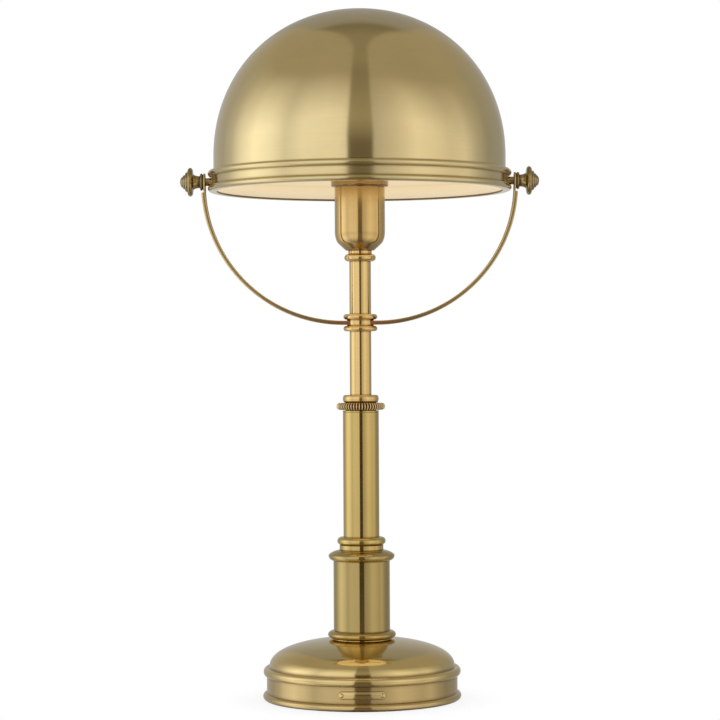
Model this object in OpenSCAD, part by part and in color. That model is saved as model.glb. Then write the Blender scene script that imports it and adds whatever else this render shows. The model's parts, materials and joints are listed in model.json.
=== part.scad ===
// Cordless desk lamp: a domed shade in a yoke, on a stem that slides and turns in a column.
// Millimetres, +Z up, origin on the table under the column's axis, front towards -Y.

/* [Base] */
// Diameter of the base over its lower bead
base_d = 175; // [169:0.2:230]
// How far the lower bead stands out past the band
foot_bead_proud = 3.3; // [1:0.1:6]
// Height of the lower bead
foot_bead_h = 6.6; // [4:0.1:12]
// Height of the plain band between the beads
band_h = 14.4; // [14:0.1:28]
// How far the upper bead stands out past the band
top_bead_proud = 2.8; // [1:0.1:6]
// Height of the upper bead
top_bead_h = 7.5; // [4:0.1:12]
// How far the dome starts inside the band
dome_step = 2.3; // [0.5:0.1:5]
// Height of the dome's full curve above the upper bead
dome_rise = 25.37; // [20:0.01:45]
// Fullness of the dome's curve, where 2 is a plain ellipse
dome_fullness = 2.3; // [2:0.05:3]
// Thickness of the base's cast wall
base_wall = 2.4; // [1.6:0.1:4]

/* [Bottom] */
// Thickness of the felt ring
felt_t = 2.5; // [1:0.1:5]
// How far the felt stands out under the metal
felt_proud = 0.5; // [0.2:0.1:0.9]
// Width of the felt ring
felt_w = 11; // [6:0.5:16]
// Thickness of the bottom plate
plate_t = 2; // [1.5:0.1:4]
// Diameter of the circle that the plate screws lie on
screw_circle_d = 120; // [116:1:130]
// Diameter of a plate screw's thread
screw_d = 4; // [3:0.5:5]
// Diameter of a plate screw's head
screw_head_d = 7.4; // [6:0.1:10]
// Length of a plate screw
screw_len = 14; // [8:0.5:18]
// Diameter of the weight's legs that take the screws
leg_d = 9; // [7:0.5:12]

/* [Weight and clamp] */
// Gap between the weight's edge and the dome's inside
weight_side_gap = 8; // [4:0.5:16]
// Gap between the weight's top and the dome's inside
weight_top_gap = 1.5; // [0.5:0.1:4]
// Gap between the battery cells and the weight above them
cell_headroom = 1.5; // [0.5:0.1:6]
// Outer diameter of the threaded nipples
nipple_d = 10; // [8:0.5:12]
// Bore of the threaded nipples
nipple_bore = 7; // [6:0.1:7.4]
// Width of the nipple nuts across their flats
nut_af = 15; // [14:0.5:17]
// Height of a nipple nut
nut_h = 6; // [3:0.1:8]
// Thickness of the washer over the lower nut
washer_t = 1.5; // [0.8:0.1:3]
// Diameter of that washer
washer_d = 24; // [20:0.5:32]
// How far a nipple stands out past its nut
nipple_proud = 1; // [0.2:0.1:2]

/* [Battery and electrics] */
// Diameter of a battery cell
cell_d = 18.5; // [14:0.5:21.5]
// Length of a battery cell
cell_len = 65; // [50:0.5:70]
// Distance between the two cells' axes
cell_spacing = 92; // [80:1:96]
// Thickness of the tray's floor and walls
tray_wall = 1.5; // [1:0.1:3]
// How far up a cell the tray reaches
tray_grip = 7; // [4:0.5:9]
// Width of the control board
board_w = 24; // [18:0.5:28]
// Depth of the control board
board_len = 22; // [16:0.5:26]
// Thickness of the control board
board_t = 1.6; // [1:0.1:2.4]
// Width of the chip on the control board
chip_w = 8; // [5:0.5:12]
// Height of that chip
chip_h = 1.6; // [0.8:0.1:3]
// Distance from the board's inner end to the chip and to the lead under it
chip_inset = 4.4; // [3:0.1:8]
// Diameter of the wires that leave the lead's ends
wire_d = 2.6; // [1.5:0.1:4]
// Diameter of the board's stand-offs
standoff_d = 5; // [3:0.5:6]
// Angle of the charging socket from the middle of the back
port_angle = 26; // [22:1:32]
// Width of the charging socket
port_w = 8.94; // [8:0.02:10]
// Height of the charging socket
port_h = 3.26; // [3:0.02:4]
// Depth of the charging socket
port_len = 7.4; // [6:0.1:10]
// Thickness of the charging socket's shell
port_wall = 0.35; // [0.2:0.05:0.5]
// Thickness of the tongue in the charging socket
tongue_t = 0.7; // [0.4:0.05:1]
// How far the socket's mouth lies inside the band's face
port_sink = 0.6; // [0.2:0.1:1.5]

/* [Button] */
// Diameter of the push button
button_d = 8; // [6:0.1:9]
// How far the button stands out past its bezel
button_proud = 1.6; // [1.3:0.1:2]
// How far the button is pressed
button_travel = 1.2; // [0.6:0.1:1.25]
// Width of the bezel's rim round the button
bezel_w = 2.2; // [1.5:0.1:2.4]
// Thickness of the bezel
bezel_t = 1.3; // [0.8:0.1:2]
// Depth of the flat that the bezel sits on
bezel_flat = 0.5; // [0.3:0.1:1]
// Radius of the button's rounded edge
button_round = 0.5; // [0.3:0.1:1.2]
// Depth of the push switch behind the bezel
switch_len = 15; // [12:0.5:18]
// Thickness of the push switch's floor
switch_floor = 3; // [2:0.1:4]
// Thickness of the push switch's wall
switch_wall = 1.1; // [0.8:0.1:1.5]

/* [Name plate] */
// Length of the blank plate on the band's front
name_w = 40; // [24:0.5:60]
// Height of the blank plate
name_h = 6.6; // [4:0.1:10]
// Thickness of the blank plate
name_t = 0.8; // [0.4:0.1:1.5]
// Distance between the plate's rivets
rivet_spacing = 35; // [16:0.5:52]
// Diameter of a rivet's head
rivet_head_d = 3.8; // [2.5:0.1:5]
// Height of a rivet's head
rivet_head_h = 1.1; // [0.6:0.1:1.8]
// Diameter of a rivet's shank
rivet_d = 2; // [1:0.1:2.4]

/* [Pedestal] */
// Diameter of the pedestal's sleeve
sleeve_d = 49.8; // [44:0.2:60]
// Length of the sleeve between its beads
sleeve_len = 61.7; // [50:0.1:90]
// Thickness of the sleeve's wall
sleeve_wall = 1.5; // [0.8:0.1:2.5]
// Height of the neck ring under the foot bead
foot_neck_h = 0.5; // [0.3:0.1:4]
// How far the neck ring stands out past the sleeve
foot_neck_proud = 0.6; // [0.2:0.1:2]
// How far the base's flat seat reaches past the neck ring
seat_margin = 1.4; // [0.5:0.1:3]
// Height of the pedestal's foot bead
foot_ring_h = 7; // [4:0.1:12]
// How far the foot bead stands out past the sleeve
foot_ring_proud = 5.1; // [2:0.1:8]
// Height of the pedestal's cap bead
cap_h = 9.3; // [5:0.1:14]
// How far the cap bead stands out past the sleeve
cap_proud = 4.3; // [2:0.1:8]
// Fullness of the slope from the cap bead up to the step, where 1 is a cone and 2 an ellipse
cap_fullness = 1.5; // [1.2:0.05:2]
// Length of the spigots inside the sleeve's ends
spigot_h = 4; // [2:0.5:8]

/* [Column] */
// Diameter of the column's tube
tube_d = 31.75; // [30:0.05:34]
// Thickness of the tube's wall
tube_wall = 1.5; // [1:0.1:2]
// Length of tube seen between the collar and the gland
tube_seen = 110; // [100:0.5:160]
// Gap between the tube's foot and the base, so that the clamp grips the pedestal
tube_foot_gap = 0.8; // [0.3:0.1:0.9]
// Height of the step under the collar bead
step_h = 4.4; // [2:0.1:10]
// How far the step stands out past the tube
step_proud = 3.5; // [2:0.1:5]
// Height of the collar bead
collar_h = 7.1; // [4:0.1:12]
// How far the collar bead stands out past the tube
collar_proud = 5.5; // [3:0.1:8]
// Length of the plug in the tube's foot
plug_len = 18; // [12:0.5:20]

/* [Gland and lock ring] */
// Thickness of the gland's flange on the tube
gland_flange_t = 1.5; // [1:0.1:3]
// Length of the gland inside the tube
gland_depth = 7.5; // [5:0.5:9]
// Thickness of the lip under the swivel bush
gland_lip_t = 1.2; // [0.8:0.1:2]
// Gap under the lock ring
ring_gap = 0.6; // [0.4:0.1:0.9]
// Height of the lock ring
ring_h = 6.1; // [4:0.1:12]
// Diameter of the lock ring over its ridges
ring_d = 43.2; // [38:0.2:56]
// Height of the ridged belt round the lock ring
ridge_h = 4.2; // [2.5:0.1:5]
// Depth of the ridges
ridge_depth = 0.8; // [0.4:0.1:1.4]
// Number of ridges
ridge_count = 52; // [32:1:72]
// Gap between the lock ring and the gland cap
cap_gap = 0.3; // [0.3:0.1:0.9]
// Height of the gland cap
gland_cap_h = 6.7; // [5:0.1:12]
// How far the gland cap stands out past the tube
gland_cap_over = 0; // [0:0.1:4]
// Thickness of the gland cap's roof over the bush
gland_roof_t = 3; // [2:0.1:3.5]
// Wall of the swivel bush
bush_wall = 1.925; // [1.2:0.025:2]
// Wall of the gland's neck
neck_wall = 1.85; // [1.4:0.05:2]

/* [Stem] */
// Diameter of the stem
stem_d = 19.05; // [18.8:0.05:19.3]
// Thickness of the stem's wall
stem_wall = 1.2; // [0.8:0.1:2]
// Length of the solid threaded ends at the spool and the cup
thread_len = 14; // [10:0.5:18]
// Stem seen between the gland cap and the spool
lower_reach = 56.2; // [52:0.1:90]
// Stem seen between the spool and the cup's collar
upper_reach = 46.5; // [30:0.1:90]
// Distance from the gland's foot down to the guide piston
piston_drop = 62; // [61:0.5:64]
// Length of the guide piston
piston_len = 10; // [6:0.5:14]
// Height of the floor that the stem stands on in the piston
piston_floor = 2; // [1:0.1:3]
// Diameter of the lead
lead_d = 5.2; // [4.2:0.1:5.8]
// Diameter over the curls of the coiled lead
coil_d = 20; // [12:0.5:26]
// Radius at which the lead bends on the bottom plate
lead_bend_r = 8; // [7:0.5:9]

/* [Spool] */
// Diameter of the spool's beads
spool_d = 30; // [26:0.2:40]
// Height of a spool bead
spool_bead_h = 4.8; // [3:0.1:9]
// Height of the flare between a bead and the yoke
flare_h = 1.05; // [0.6:0.05:4]
// How far the flare's wide end stands out past the stem
flare_proud = 2; // [1:0.1:3]
// Diameter of the yoke's eye
eye_d = 20; // [19.6:0.1:24]

/* [Cup] */
// Diameter of the lamp-holder cup
cup_d = 44.4; // [43:0.2:56]
// Height of the cup from its foot to its flange's top
cup_h = 62.8; // [56:0.2:80]
// Diameter of the cup's flange
cup_flange_d = 50.8; // [47:0.2:64]
// Height of the cup's flange
cup_flange_h = 6.6; // [3:0.1:12]
// Bevel round the cup's flange
cup_bevel = 1.1; // [0.4:0.1:2]
// Diameter of the cup's flat foot
cup_foot_d = 24.8; // [24:0.1:27]
// Height of the cup's bowl under its straight side
cup_bowl_h = 16.7; // [15:0.1:20]
// Height of the ellipse that rounds the bowl's shoulder
cup_shoulder_h = 12.1; // [8:0.1:14]
// Width of that ellipse, which runs into the cone at the cup's foot
cup_shoulder_w = 6.2; // [3:0.1:9]
// Thickness of the cup's wall
cup_wall = 1.2; // [0.8:0.1:2]
// Height of the collar bead under the cup
cup_bead_h = 6.6; // [4:0.1:12]
// How far the collar bead stands out past the stem
cup_bead_proud = 4.4; // [2:0.1:8]
// Height of the neck between that bead and the cup
cup_neck_h = 3; // [1:0.1:8]
// How far that neck stands out past the stem
cup_neck_proud = 0.9; // [0.4:0.1:3]

/* [Lamp holder and bulb] */
// Diameter of the lamp holder's body
holder_d = 39; // [36:0.5:39.6]
// Height of the lamp holder's body
holder_h = 34; // [30:0.5:38]
// Height of the holder's foot that stands on the cup's floor
holder_foot_h = 17; // [15.5:0.5:18]
// Thickness of the holder's foot
holder_foot_wall = 1.6; // [1:0.1:1.8]
// Thickness of the holder's floor
holder_floor = 5; // [3:0.5:7]
// Diameter of the bulb's screw cap
bulb_cap_d = 26.4; // [24:0.1:27]
// Length of the bulb's screw cap
bulb_cap_h = 25; // [22:0.5:28]
// Thickness of the holder's screw shell
shell_t = 0.5; // [0.3:0.05:0.8]
// Height of the spring contact under the bulb
contact_h = 3; // [2:0.1:5]
// Diameter of the spring contact
contact_d = 9; // [6:0.5:12]
// Thickness of the spring contact's foot
contact_foot_t = 1; // [0.5:0.1:1.8]
// Diameter of the spring contact's tip
contact_tip_d = 4.5; // [2:0.1:6]
// Height of the cone under the bulb's screw cap
cap_cone_h = 3; // [1:0.1:6]
// Diameter of the bulb's globe
globe_d = 60; // [45:1:80]
// Length of the bulb's neck, from its cap to the globe's middle
globe_rise = 44; // [40:1:60]
// Thickness of the bulb's glass
glass_t = 0.8; // [0.5:0.1:1.5]

/* [Shade] */
// Outer diameter of the shade's dome
shade_d = 257.8; // [220:0.2:320]
// Height of the dome's straight wall above the rim
shade_wall_h = 11.6; // [4:0.2:40]
// Height of the dome's round top above its straight wall
shade_rise = 130.4; // [100:0.2:170]
// Fullness of the dome's curve, where 2 is a plain ellipse
shade_fullness = 2.08; // [2:0.02:2.6]
// Thickness of the spun dome
shade_t = 1; // [0.6:0.1:2]
// Thickness of the lining
lining_t = 0.6; // [0.4:0.1:1]
// How far the rim's band stands out past the dome
rim_band_proud = 2.3; // [1:0.1:4]
// How far the rim's beads stand out past its band
rim_bead_proud = 2.8; // [1:0.1:5]
// Height of the rim's band
rim_band_h = 7.5; // [7.2:0.1:16]
// Height of the rim's lower bead
rim_low_bead_h = 5.2; // [3:0.1:9]
// Height of the rim's upper bead
rim_top_bead_h = 5.7; // [3:0.1:9]
// How far the rim's lip turns in past the dome's outside
rim_lip = 2.8; // [2:0.1:6]

/* [Yoke] */
// Thickness of the yoke's strip
strip_t = 3.5; // [2.5:0.1:5]
// Width of the yoke's strip
strip_w = 15.2; // [10:0.1:18]
// Half length of the strip's straight middle
strip_flat = 15; // [12:0.1:30]
// Gap between the rim's beads and the yoke's arms
arm_gap = 2.3; // [1.5:0.1:8]
// Straight end of an arm, from its bend up to the pivot
arm_end = 1.85; // [0:0.05:20]
// Thickness of the tabs at the strip's ends
tab_t = 1.5; // [1:0.1:2.4]
// How far the tabs' shoulder lies under the pivot
tab_drop = 9.6; // [9.2:0.1:16]

/* [Pivots and knobs] */
// Diameter of the studs' thread
stud_d = 5; // [4:0.1:5.4]
// Diameter of the studs' shoulder
stud_shoulder_d = 7; // [6:0.1:7.2]
// Width of the studs' nuts across their flats
stud_nut_af = 8; // [7.6:0.1:9]
// Height of the studs' nuts
stud_nut_h = 4; // [2:0.1:6]
// Diameter of the washers under the knobs
pivot_washer_d = 14; // [9:0.1:15]
// Thickness of the washers under the knobs
pivot_washer_t = 0.5; // [0.4:0.1:2]
// Diameter of a knob's base bead
knob_base_d = 15.4; // [13:0.1:20]
// Length of a knob's base bead
knob_base_len = 2.8; // [1.5:0.1:4]
// Least diameter of a knob's waist
knob_waist_d = 10.6; // [9:0.1:13]
// Length of a knob's waist
knob_waist_len = 6; // [4:0.1:10]
// Diameter of the waist where it meets the disc
knob_flare_d = 15.8; // [14:0.1:17]
// Diameter of a knob's disc
knob_disc_d = 25.4; // [24:0.1:36]
// Thickness of a knob's disc
knob_disc_t = 4.8; // [2:0.1:8]
// Width of the round on a knob's disc
knob_disc_round = 3.2; // [1:0.1:3.5]
// Diameter of the first step on a knob's face
knob_step_d = 17.6; // [14:0.1:17.8]
// Diameter of the second step on a knob's face
knob_button_d = 12.8; // [10:0.1:16]
// Height of each step on a knob's face
knob_step_h = 2.1; // [0.6:0.05:3]
// Width of the round on each step
knob_step_round = 1.5; // [0.5:0.1:2]
// Diameter of a knob's tip
knob_tip_d = 9.4; // [6:0.1:12]
// Length of a knob's tip
knob_tip_len = 2.4; // [2:0.1:8]
// Depth of the thread in a knob
knob_thread = 9.5; // [6:0.1:12]

/* [Fits] */
// Play of pieces that run in each other, on the radius
run_play = 0.05; // [0.02:0.01:0.1]
// Play of pieces that are screwed, brazed or pressed together, on the radius
seat_play = 0.05; // [0.01:0.01:0.1]
// Clearance of pieces that pass each other freely
free_gap = 0.4; // [0.3:0.05:0.6]
// Play between faces that turn on each other
face_play = 0.05; // [0.02:0.01:0.1]

/* [Hidden] */
$fn = 96;
// Points in each bead's half round
bead_steps = 12;
// Points along each long curve
curve_steps = 18;
// Points along the shade's curve
shade_steps = 45;
// Overrun of cutting solids
cut = 1;

// Heights up the base
base_z0 = felt_proud;
band_z0 = base_z0 + foot_bead_h;
band_z1 = band_z0 + band_h;
dome_z0 = band_z1 + top_bead_h;
band_mid_z = (band_z0 + band_z1) / 2;

// Radii of the base
band_r = base_d / 2 - foot_bead_proud;
band_in_r = band_r - base_wall;
dome_r = band_r - dome_step;
dome_in_r = dome_r - base_wall;

// Column radii, from the tube out and in
tube_r = tube_d / 2;
tube_in_r = tube_r - tube_wall;
sleeve_r = sleeve_d / 2;
sleeve_in_r = sleeve_r - sleeve_wall;
step_r = tube_r + step_proud;
stem_r = stem_d / 2;
stem_in_r = stem_r - stem_wall;
bush_in_r = stem_r + run_play;
bush_r = bush_in_r + bush_wall;
neck_in_r = bush_r + run_play;
neck_r = neck_in_r + neck_wall;
ring_in_r = neck_r + run_play;
nipple_r = nipple_d / 2;
nipple_hole_r = nipple_r + seat_play;
lead_r = lead_d / 2;

// The dome's flat seat under the pedestal's neck ring
foot_neck_r = sleeve_r + foot_neck_proud;
seat_r = foot_neck_r + seat_margin;
seat_z = dome_z0 + dome_rise * fullness_at(seat_r / dome_r);
seat_in_z = seat_z - base_wall;
dome_in_rise = (seat_in_z - dome_z0) / fullness_at(seat_r / dome_in_r);

// Heights up the pedestal and the column
foot_z0 = seat_z + foot_neck_h;
sleeve_z0 = foot_z0 + foot_ring_h;
sleeve_z1 = sleeve_z0 + sleeve_len;
cap_z1 = sleeve_z1 + cap_h;
step_z1 = cap_z1 + step_h;
collar_z1 = step_z1 + collar_h;
tube_z0 = seat_z + tube_foot_gap;
tube_z1 = collar_z1 + tube_seen;
plug_z1 = tube_z0 + plug_len;
gland_z0 = tube_z1 - gland_depth;
gland_z1 = tube_z1 + gland_flange_t;
ring_z0 = gland_z1 + ring_gap;
ring_z1 = ring_z0 + ring_h;
gland_cap_z0 = ring_z1 + cap_gap;
gland_cap_z1 = gland_cap_z0 + gland_cap_h;
gland_roof_z = gland_cap_z1 - gland_roof_t;
stem_pass_r = stem_r + free_gap;

// Heights up the stem
piston_z1 = gland_z0 - piston_drop;
piston_z0 = piston_z1 - piston_len;
spool_z0 = gland_cap_z1 + lower_reach;
yoke_z0 = spool_z0 + spool_bead_h + flare_h;
yoke_z1 = yoke_z0 + strip_t;
yoke_z = (yoke_z0 + yoke_z1) / 2;
spool_z1 = yoke_z1 + flare_h + spool_bead_h;
cup_bead_z0 = spool_z1 + upper_reach;
cup_bead_z1 = cup_bead_z0 + cup_bead_h;
cup_z0 = cup_bead_z1 + cup_neck_h;
cup_z1 = cup_z0 + cup_h;

// The shade, its rim and the pivot's axis
shade_r = shade_d / 2;
rim_band_r = shade_r + rim_band_proud;
rim_bead_r = rim_band_r + rim_bead_proud;
rim_lip_r = shade_r - rim_lip;
arm_in_x = rim_bead_r + arm_gap;
arm_x = arm_in_x + strip_t / 2;
bend_r = arm_x - strip_flat;
bend_z = yoke_z + bend_r;
pivot_z = bend_z + arm_end;
rim_band_z0 = pivot_z - rim_band_h / 2;
rim_band_z1 = pivot_z + rim_band_h / 2;
rim_z0 = rim_band_z0 - rim_low_bead_h;
rim_z1 = rim_band_z1 + rim_top_bead_h;
rim_ledge_z = rim_band_z1 + free_gap;
shade_mid_z = rim_z1 + shade_wall_h;

// Places along the pivot's axis, from the middle of the lamp out
stud_r = stud_d / 2;
stud_hole_r = stud_r + run_play;
tab_x = arm_in_x + tab_t;
washer_x = tab_x + face_play;
knob_x = washer_x + pivot_washer_t + face_play;
knob_disc_x = knob_x + knob_base_len + knob_waist_len;
knob_step_x = knob_disc_x + knob_disc_t;
knob_tip_x = knob_step_x + 2 * knob_step_h;
stud_end_x = knob_x + knob_thread - free_gap;
stud_nut_r = stud_nut_af / 2 / cos(30);
stud_nut_x = sqrt(pow(rim_lip_r, 2) - pow(stud_nut_r, 2)) - seat_play;

// The lamp holder and the bulb in the cup
cup_r = cup_d / 2;
cup_floor_z = cup_z0 + cup_wall;
cup_floor_r = cup_foot_d / 2 - cup_wall;
cup_nut_z1 = cup_floor_z + nut_h;
holder_foot_r = cup_floor_r - seat_play;
holder_z0 = cup_floor_z + holder_foot_h;
holder_z1 = holder_z0 + holder_h;
holder_floor_z = holder_z0 + holder_floor;
bulb_cap_r = bulb_cap_d / 2;
shell_in_r = bulb_cap_r + seat_play;
shell_r = shell_in_r + shell_t;
bulb_z0 = holder_floor_z + contact_h;
bulb_cap_z1 = bulb_z0 + bulb_cap_h;
globe_r = globe_d / 2;
globe_z = bulb_cap_z1 + globe_rise;
bulb_neck_r = bulb_cap_r - glass_t;

// The bottom plate and what stands on it
plate_z0 = felt_t;
plate_z1 = plate_z0 + plate_t;
plate_r = band_in_r - free_gap;
cell_r = cell_d / 2;
cell_z = plate_z1 + tray_wall + cell_r;
weight_z0 = cell_z + cell_r + cell_headroom;
weight_r = dome_in_r - weight_side_gap;
nut_z0 = weight_z0 - washer_t - nut_h;
nipple_z0 = nut_z0 - nipple_proud;
board_z1 = band_mid_z - port_h / 2;
board_z0 = board_z1 - board_t;
port_mouth_y = band_r - port_sink;
board_edge_y = port_mouth_y - port_len / 2;
board_y0 = board_edge_y - board_len;
chip_y0 = board_y0 + chip_inset;
leg_angles = [-90, 45, 135];

// The button's hole, along the back's middle line
button_r = button_d / 2;
button_hole_r = button_r + free_gap;
switch_r = button_hole_r + switch_wall;
bezel_y0 = band_r - bezel_flat;
bezel_y1 = bezel_y0 + bezel_t;
bezel_r = button_r + free_gap + bezel_w;
button_y1 = bezel_y1 + button_proud;
switch_y0 = bezel_y0 - switch_len;
button_y0 = switch_y0 + switch_floor + button_travel + free_gap;

// Angle of a rivet from the middle of the front
rivet_angle = asin(rivet_spacing / 2 / band_r);

// Height of a full dome's curve at a share of its radius
function fullness_at(share) = pow(1 - pow(share, dome_fullness), 1 / dome_fullness);

// Half-round bead standing out of a wall of radius r, from its lower to its upper edge
function bead(r, z0, z1, proud) = [
    for (i = [0:bead_steps])
        let (a = -90 + 180 * i / bead_steps)
        [r + proud * cos(a), (z0 + z1) / 2 + (z1 - z0) / 2 * sin(a)]
];

// Dome's outside or inside curve, from its foot up to the seat's edge
function dome_curve(r, rise) = [
    let (top = acos(pow(seat_r / r, dome_fullness / 2)))
        for (i = [0:curve_steps])
            let (a = top * i / curve_steps)
            [r * pow(cos(a), 2 / dome_fullness), dome_z0 + rise * pow(sin(a), 2 / dome_fullness)]
];

// Quarter round from the point at angle a0 to the point at angle a1
function quarter(r, z, rr, rz, a0, a1) = [
    for (i = [0:bead_steps])
        let (a = a0 + (a1 - a0) * i / bead_steps)
        [r + rr * cos(a), z + rz * sin(a)]
];

// Quarter of a fuller or flatter ellipse, from its foot up to its top
function full_quarter(r, z, rr, rz, fullness, steps = bead_steps) = [
    for (i = [0:steps])
        let (a = 90 * i / steps)
        [r + rr * pow(cos(a), 2 / fullness), z + rz * pow(sin(a), 2 / fullness)]
];

// The same points from last to first
function reversed(points) = [for (i = [len(points) - 1:-1:0]) points[i]];

module turned(points) {
    rotate_extrude() polygon(points);
}

module ring(r_in, r_out, z0, z1) {
    rotate_extrude() translate([r_in, z0]) square([r_out - r_in, z1 - z0]);
}

module rod(r, z0, z1) {
    translate([0, 0, z0]) cylinder(r = r, h = z1 - z0);
}

// Along +Y at a height, for what passes through the base's back or front
module back_rod(r, y0, y1, z) {
    translate([0, y0, z]) rotate([-90, 0, 0]) cylinder(r = r, h = y1 - y0);
}

// Along +X at the pivot's height
module pivot_rod(r, x0, x1) {
    translate([x0, 0, pivot_z]) rotate([0, 90, 0]) cylinder(r = r, h = x1 - x0);
}

module both_sides() {
    children();
    mirror([1, 0, 0]) children();
}

module hex_nut(af, hole_r, z0, z1) {
    translate([0, 0, z0])
        difference() {
            cylinder(r = af / 2 / cos(30), h = z1 - z0, $fn = 6);
            translate([0, 0, -cut]) cylinder(r = hole_r, h = z1 - z0 + 2 * cut);
        }
}

// Slot with round ends, across X and Z, from y0 to y1
module slot_block(w, h, y0, y1, z) {
    translate([0, y1, z])
        rotate([90, 0, 0])
            linear_extrude(y1 - y0) {
                square([w - h, h], center = true);
                for (side = [-1, 1]) translate([side * (w - h) / 2, 0]) circle(d = h);
            }
}

// Where the plate's screws and the weight's legs stand
module at_legs() {
    for (a = leg_angles) rotate([0, 0, a]) translate([screw_circle_d / 2, 0, 0]) children();
}

// Where the plate's rivets stand, with +Y out of the band
module at_rivets() {
    for (side = [-1, 1]) rotate([0, 0, 180 + side * rivet_angle]) children();
}

module base_shell() {
    outside = concat(
        [[band_in_r, base_z0]],
        bead(band_r, base_z0, band_z0, foot_bead_proud),
        bead(band_r, band_z1, dome_z0, top_bead_proud),
        dome_curve(dome_r, dome_rise),
        [[nipple_hole_r, seat_z], [nipple_hole_r, seat_in_z]],
        reversed(dome_curve(dome_in_r, dome_in_rise)),
        [[band_in_r, band_z1]]);
    color("goldenrod")
        difference() {
            turned(outside);
            back_rod(switch_r + seat_play, band_in_r - cut, base_d, band_mid_z);
            back_rod(bezel_r + seat_play, bezel_y0, base_d, band_mid_z);
            rotate([0, 0, port_angle])
                slot_block(port_w + 2 * free_gap, port_h + 2 * free_gap,
                    band_in_r - port_w / 2, base_d, band_mid_z);
            at_rivets() back_rod(rivet_d / 2 + seat_play, band_in_r - cut, base_d, band_mid_z);
        }
}

module base_weight() {
    boss_r = seat_r - seat_margin;
    top = [
        for (i = [0:curve_steps])
            let (r = weight_r + (boss_r - weight_r) * i / curve_steps)
            [r, dome_z0 + dome_in_rise * fullness_at(r / dome_in_r) - weight_top_gap]
    ];
    color("dimgray")
        difference() {
            union() {
                turned(concat(
                    [[nipple_hole_r, weight_z0], [weight_r, weight_z0]],
                    top,
                    [[boss_r, seat_in_z], [nipple_hole_r, seat_in_z]]));
                at_legs() rod(leg_d / 2, plate_z1, weight_z0 + cut);
            }
            at_legs() rod(screw_d / 2 + seat_play, plate_z1 - cut, plate_z0 + screw_len + cut);
        }
}

// Head of a plate screw, a cone flush with the plate's underside
module screw_head(play) {
    translate([0, 0, plate_z0])
        cylinder(r1 = screw_head_d / 2 + play, r2 = screw_d / 2 + play, h = (screw_head_d - screw_d) / 2);
}

module bottom_plate() {
    color("darkslategray") {
        difference() {
            rod(plate_r, plate_z0, plate_z1);
            at_legs() {
                rod(screw_d / 2 + seat_play, plate_z0 - cut, plate_z1 + cut);
                screw_head(seat_play);
            }
        }
        rotate([0, 0, port_angle])
            for (side = [-1, 1])
                translate([side * (board_w - standoff_d) / 2, board_edge_y - board_len / 2, 0])
                    rod(standoff_d / 2, plate_z1, board_z0);
    }
}

module plate_screws() {
    color("silver")
        at_legs() {
            rod(screw_d / 2, plate_z0, plate_z0 + screw_len);
            screw_head(0);
        }
}

module felt_ring() {
    color("darkgreen") ring(plate_r - felt_w, plate_r, 0, plate_z0);
}

module battery_cells() {
    color("royalblue")
        both_sides()
            translate([cell_spacing / 2, 0, 0]) back_rod(cell_r, -cell_len / 2, cell_len / 2, cell_z);
}

module battery_tray() {
    tray_w = cell_d + 2 * (tray_wall + free_gap);
    tray_len = cell_len + 2 * (tray_wall + free_gap);
    well_len = cell_len + 2 * free_gap;
    color("black")
        both_sides()
            translate([cell_spacing / 2, 0, 0])
                difference() {
                    translate([-tray_w / 2, -tray_len / 2, plate_z1])
                        cube([tray_w, tray_len, tray_wall + tray_grip]);
                    back_rod(cell_r + seat_play, -well_len / 2, well_len / 2, cell_z);
                }
}

module control_board() {
    color("seagreen")
        rotate([0, 0, port_angle]) {
            translate([-board_w / 2, board_y0, board_z0]) cube([board_w, board_len, board_t]);
            translate([-chip_w / 2, chip_y0, board_z1]) cube([chip_w, chip_w, chip_h]);
        }
}

module charge_port() {
    port_y0 = port_mouth_y - port_len;
    color("silver")
        rotate([0, 0, port_angle]) {
            difference() {
                slot_block(port_w, port_h, port_y0, port_mouth_y, band_mid_z);
                slot_block(port_w - 2 * port_wall, port_h - 2 * port_wall,
                    port_y0 + port_wall, port_mouth_y + cut, band_mid_z);
            }
            slot_block(port_w - port_h, tongue_t, port_y0, port_mouth_y - port_sink, band_mid_z);
        }
}

module switch_body() {
    color("black")
        difference() {
            union() {
                back_rod(switch_r, switch_y0, bezel_y0, band_mid_z);
                back_rod(switch_r + switch_wall, switch_y0, band_in_r - free_gap - switch_wall, band_mid_z);
            }
            back_rod(button_hole_r, switch_y0 + switch_floor, bezel_y0 + cut, band_mid_z);
        }
}

module button_bezel() {
    color("goldenrod")
        difference() {
            back_rod(bezel_r, bezel_y0, bezel_y1, band_mid_z);
            back_rod(button_hole_r, bezel_y0 - cut, bezel_y1 + cut, band_mid_z);
        }
}

module power_button() {
    color("gold")
        translate([0, button_y1, band_mid_z])
            rotate([-90, 0, 0])
                turned(concat(
                    [[0, button_y0 - button_y1], [button_r, button_y0 - button_y1]],
                    quarter(button_r - button_round, -button_round, button_round, button_round, 0, 90),
                    [[0, 0]]));
}

module name_plate() {
    color("gold")
        difference() {
            intersection() {
                ring(band_r, band_r + name_t, band_z0, band_z1);
                slot_block(name_w, name_h, -base_d, 0, band_mid_z);
            }
            at_rivets() back_rod(rivet_d / 2 + seat_play, band_in_r, base_d, band_mid_z);
        }
}

module plate_rivets() {
    head_y = band_r + name_t;
    color("gold")
        at_rivets()
            translate([0, head_y, band_mid_z])
                rotate([-90, 0, 0]) {
                    turned(concat([[0, 0]], quarter(0, 0, rivet_head_d / 2, rivet_head_h, 0, 90)));
                    rod(rivet_d / 2, -name_t - base_wall, 0);
                }
}

module base_nipple() {
    color("silver") ring(nipple_bore / 2, nipple_r, nipple_z0, plug_z1);
}

module nipple_washer() {
    color("silver") ring(nipple_hole_r, washer_d / 2, weight_z0 - washer_t, weight_z0);
}

module nipple_nut() {
    color("silver") hex_nut(nut_af, nipple_hole_r, nut_z0, nut_z0 + nut_h);
}

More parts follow.
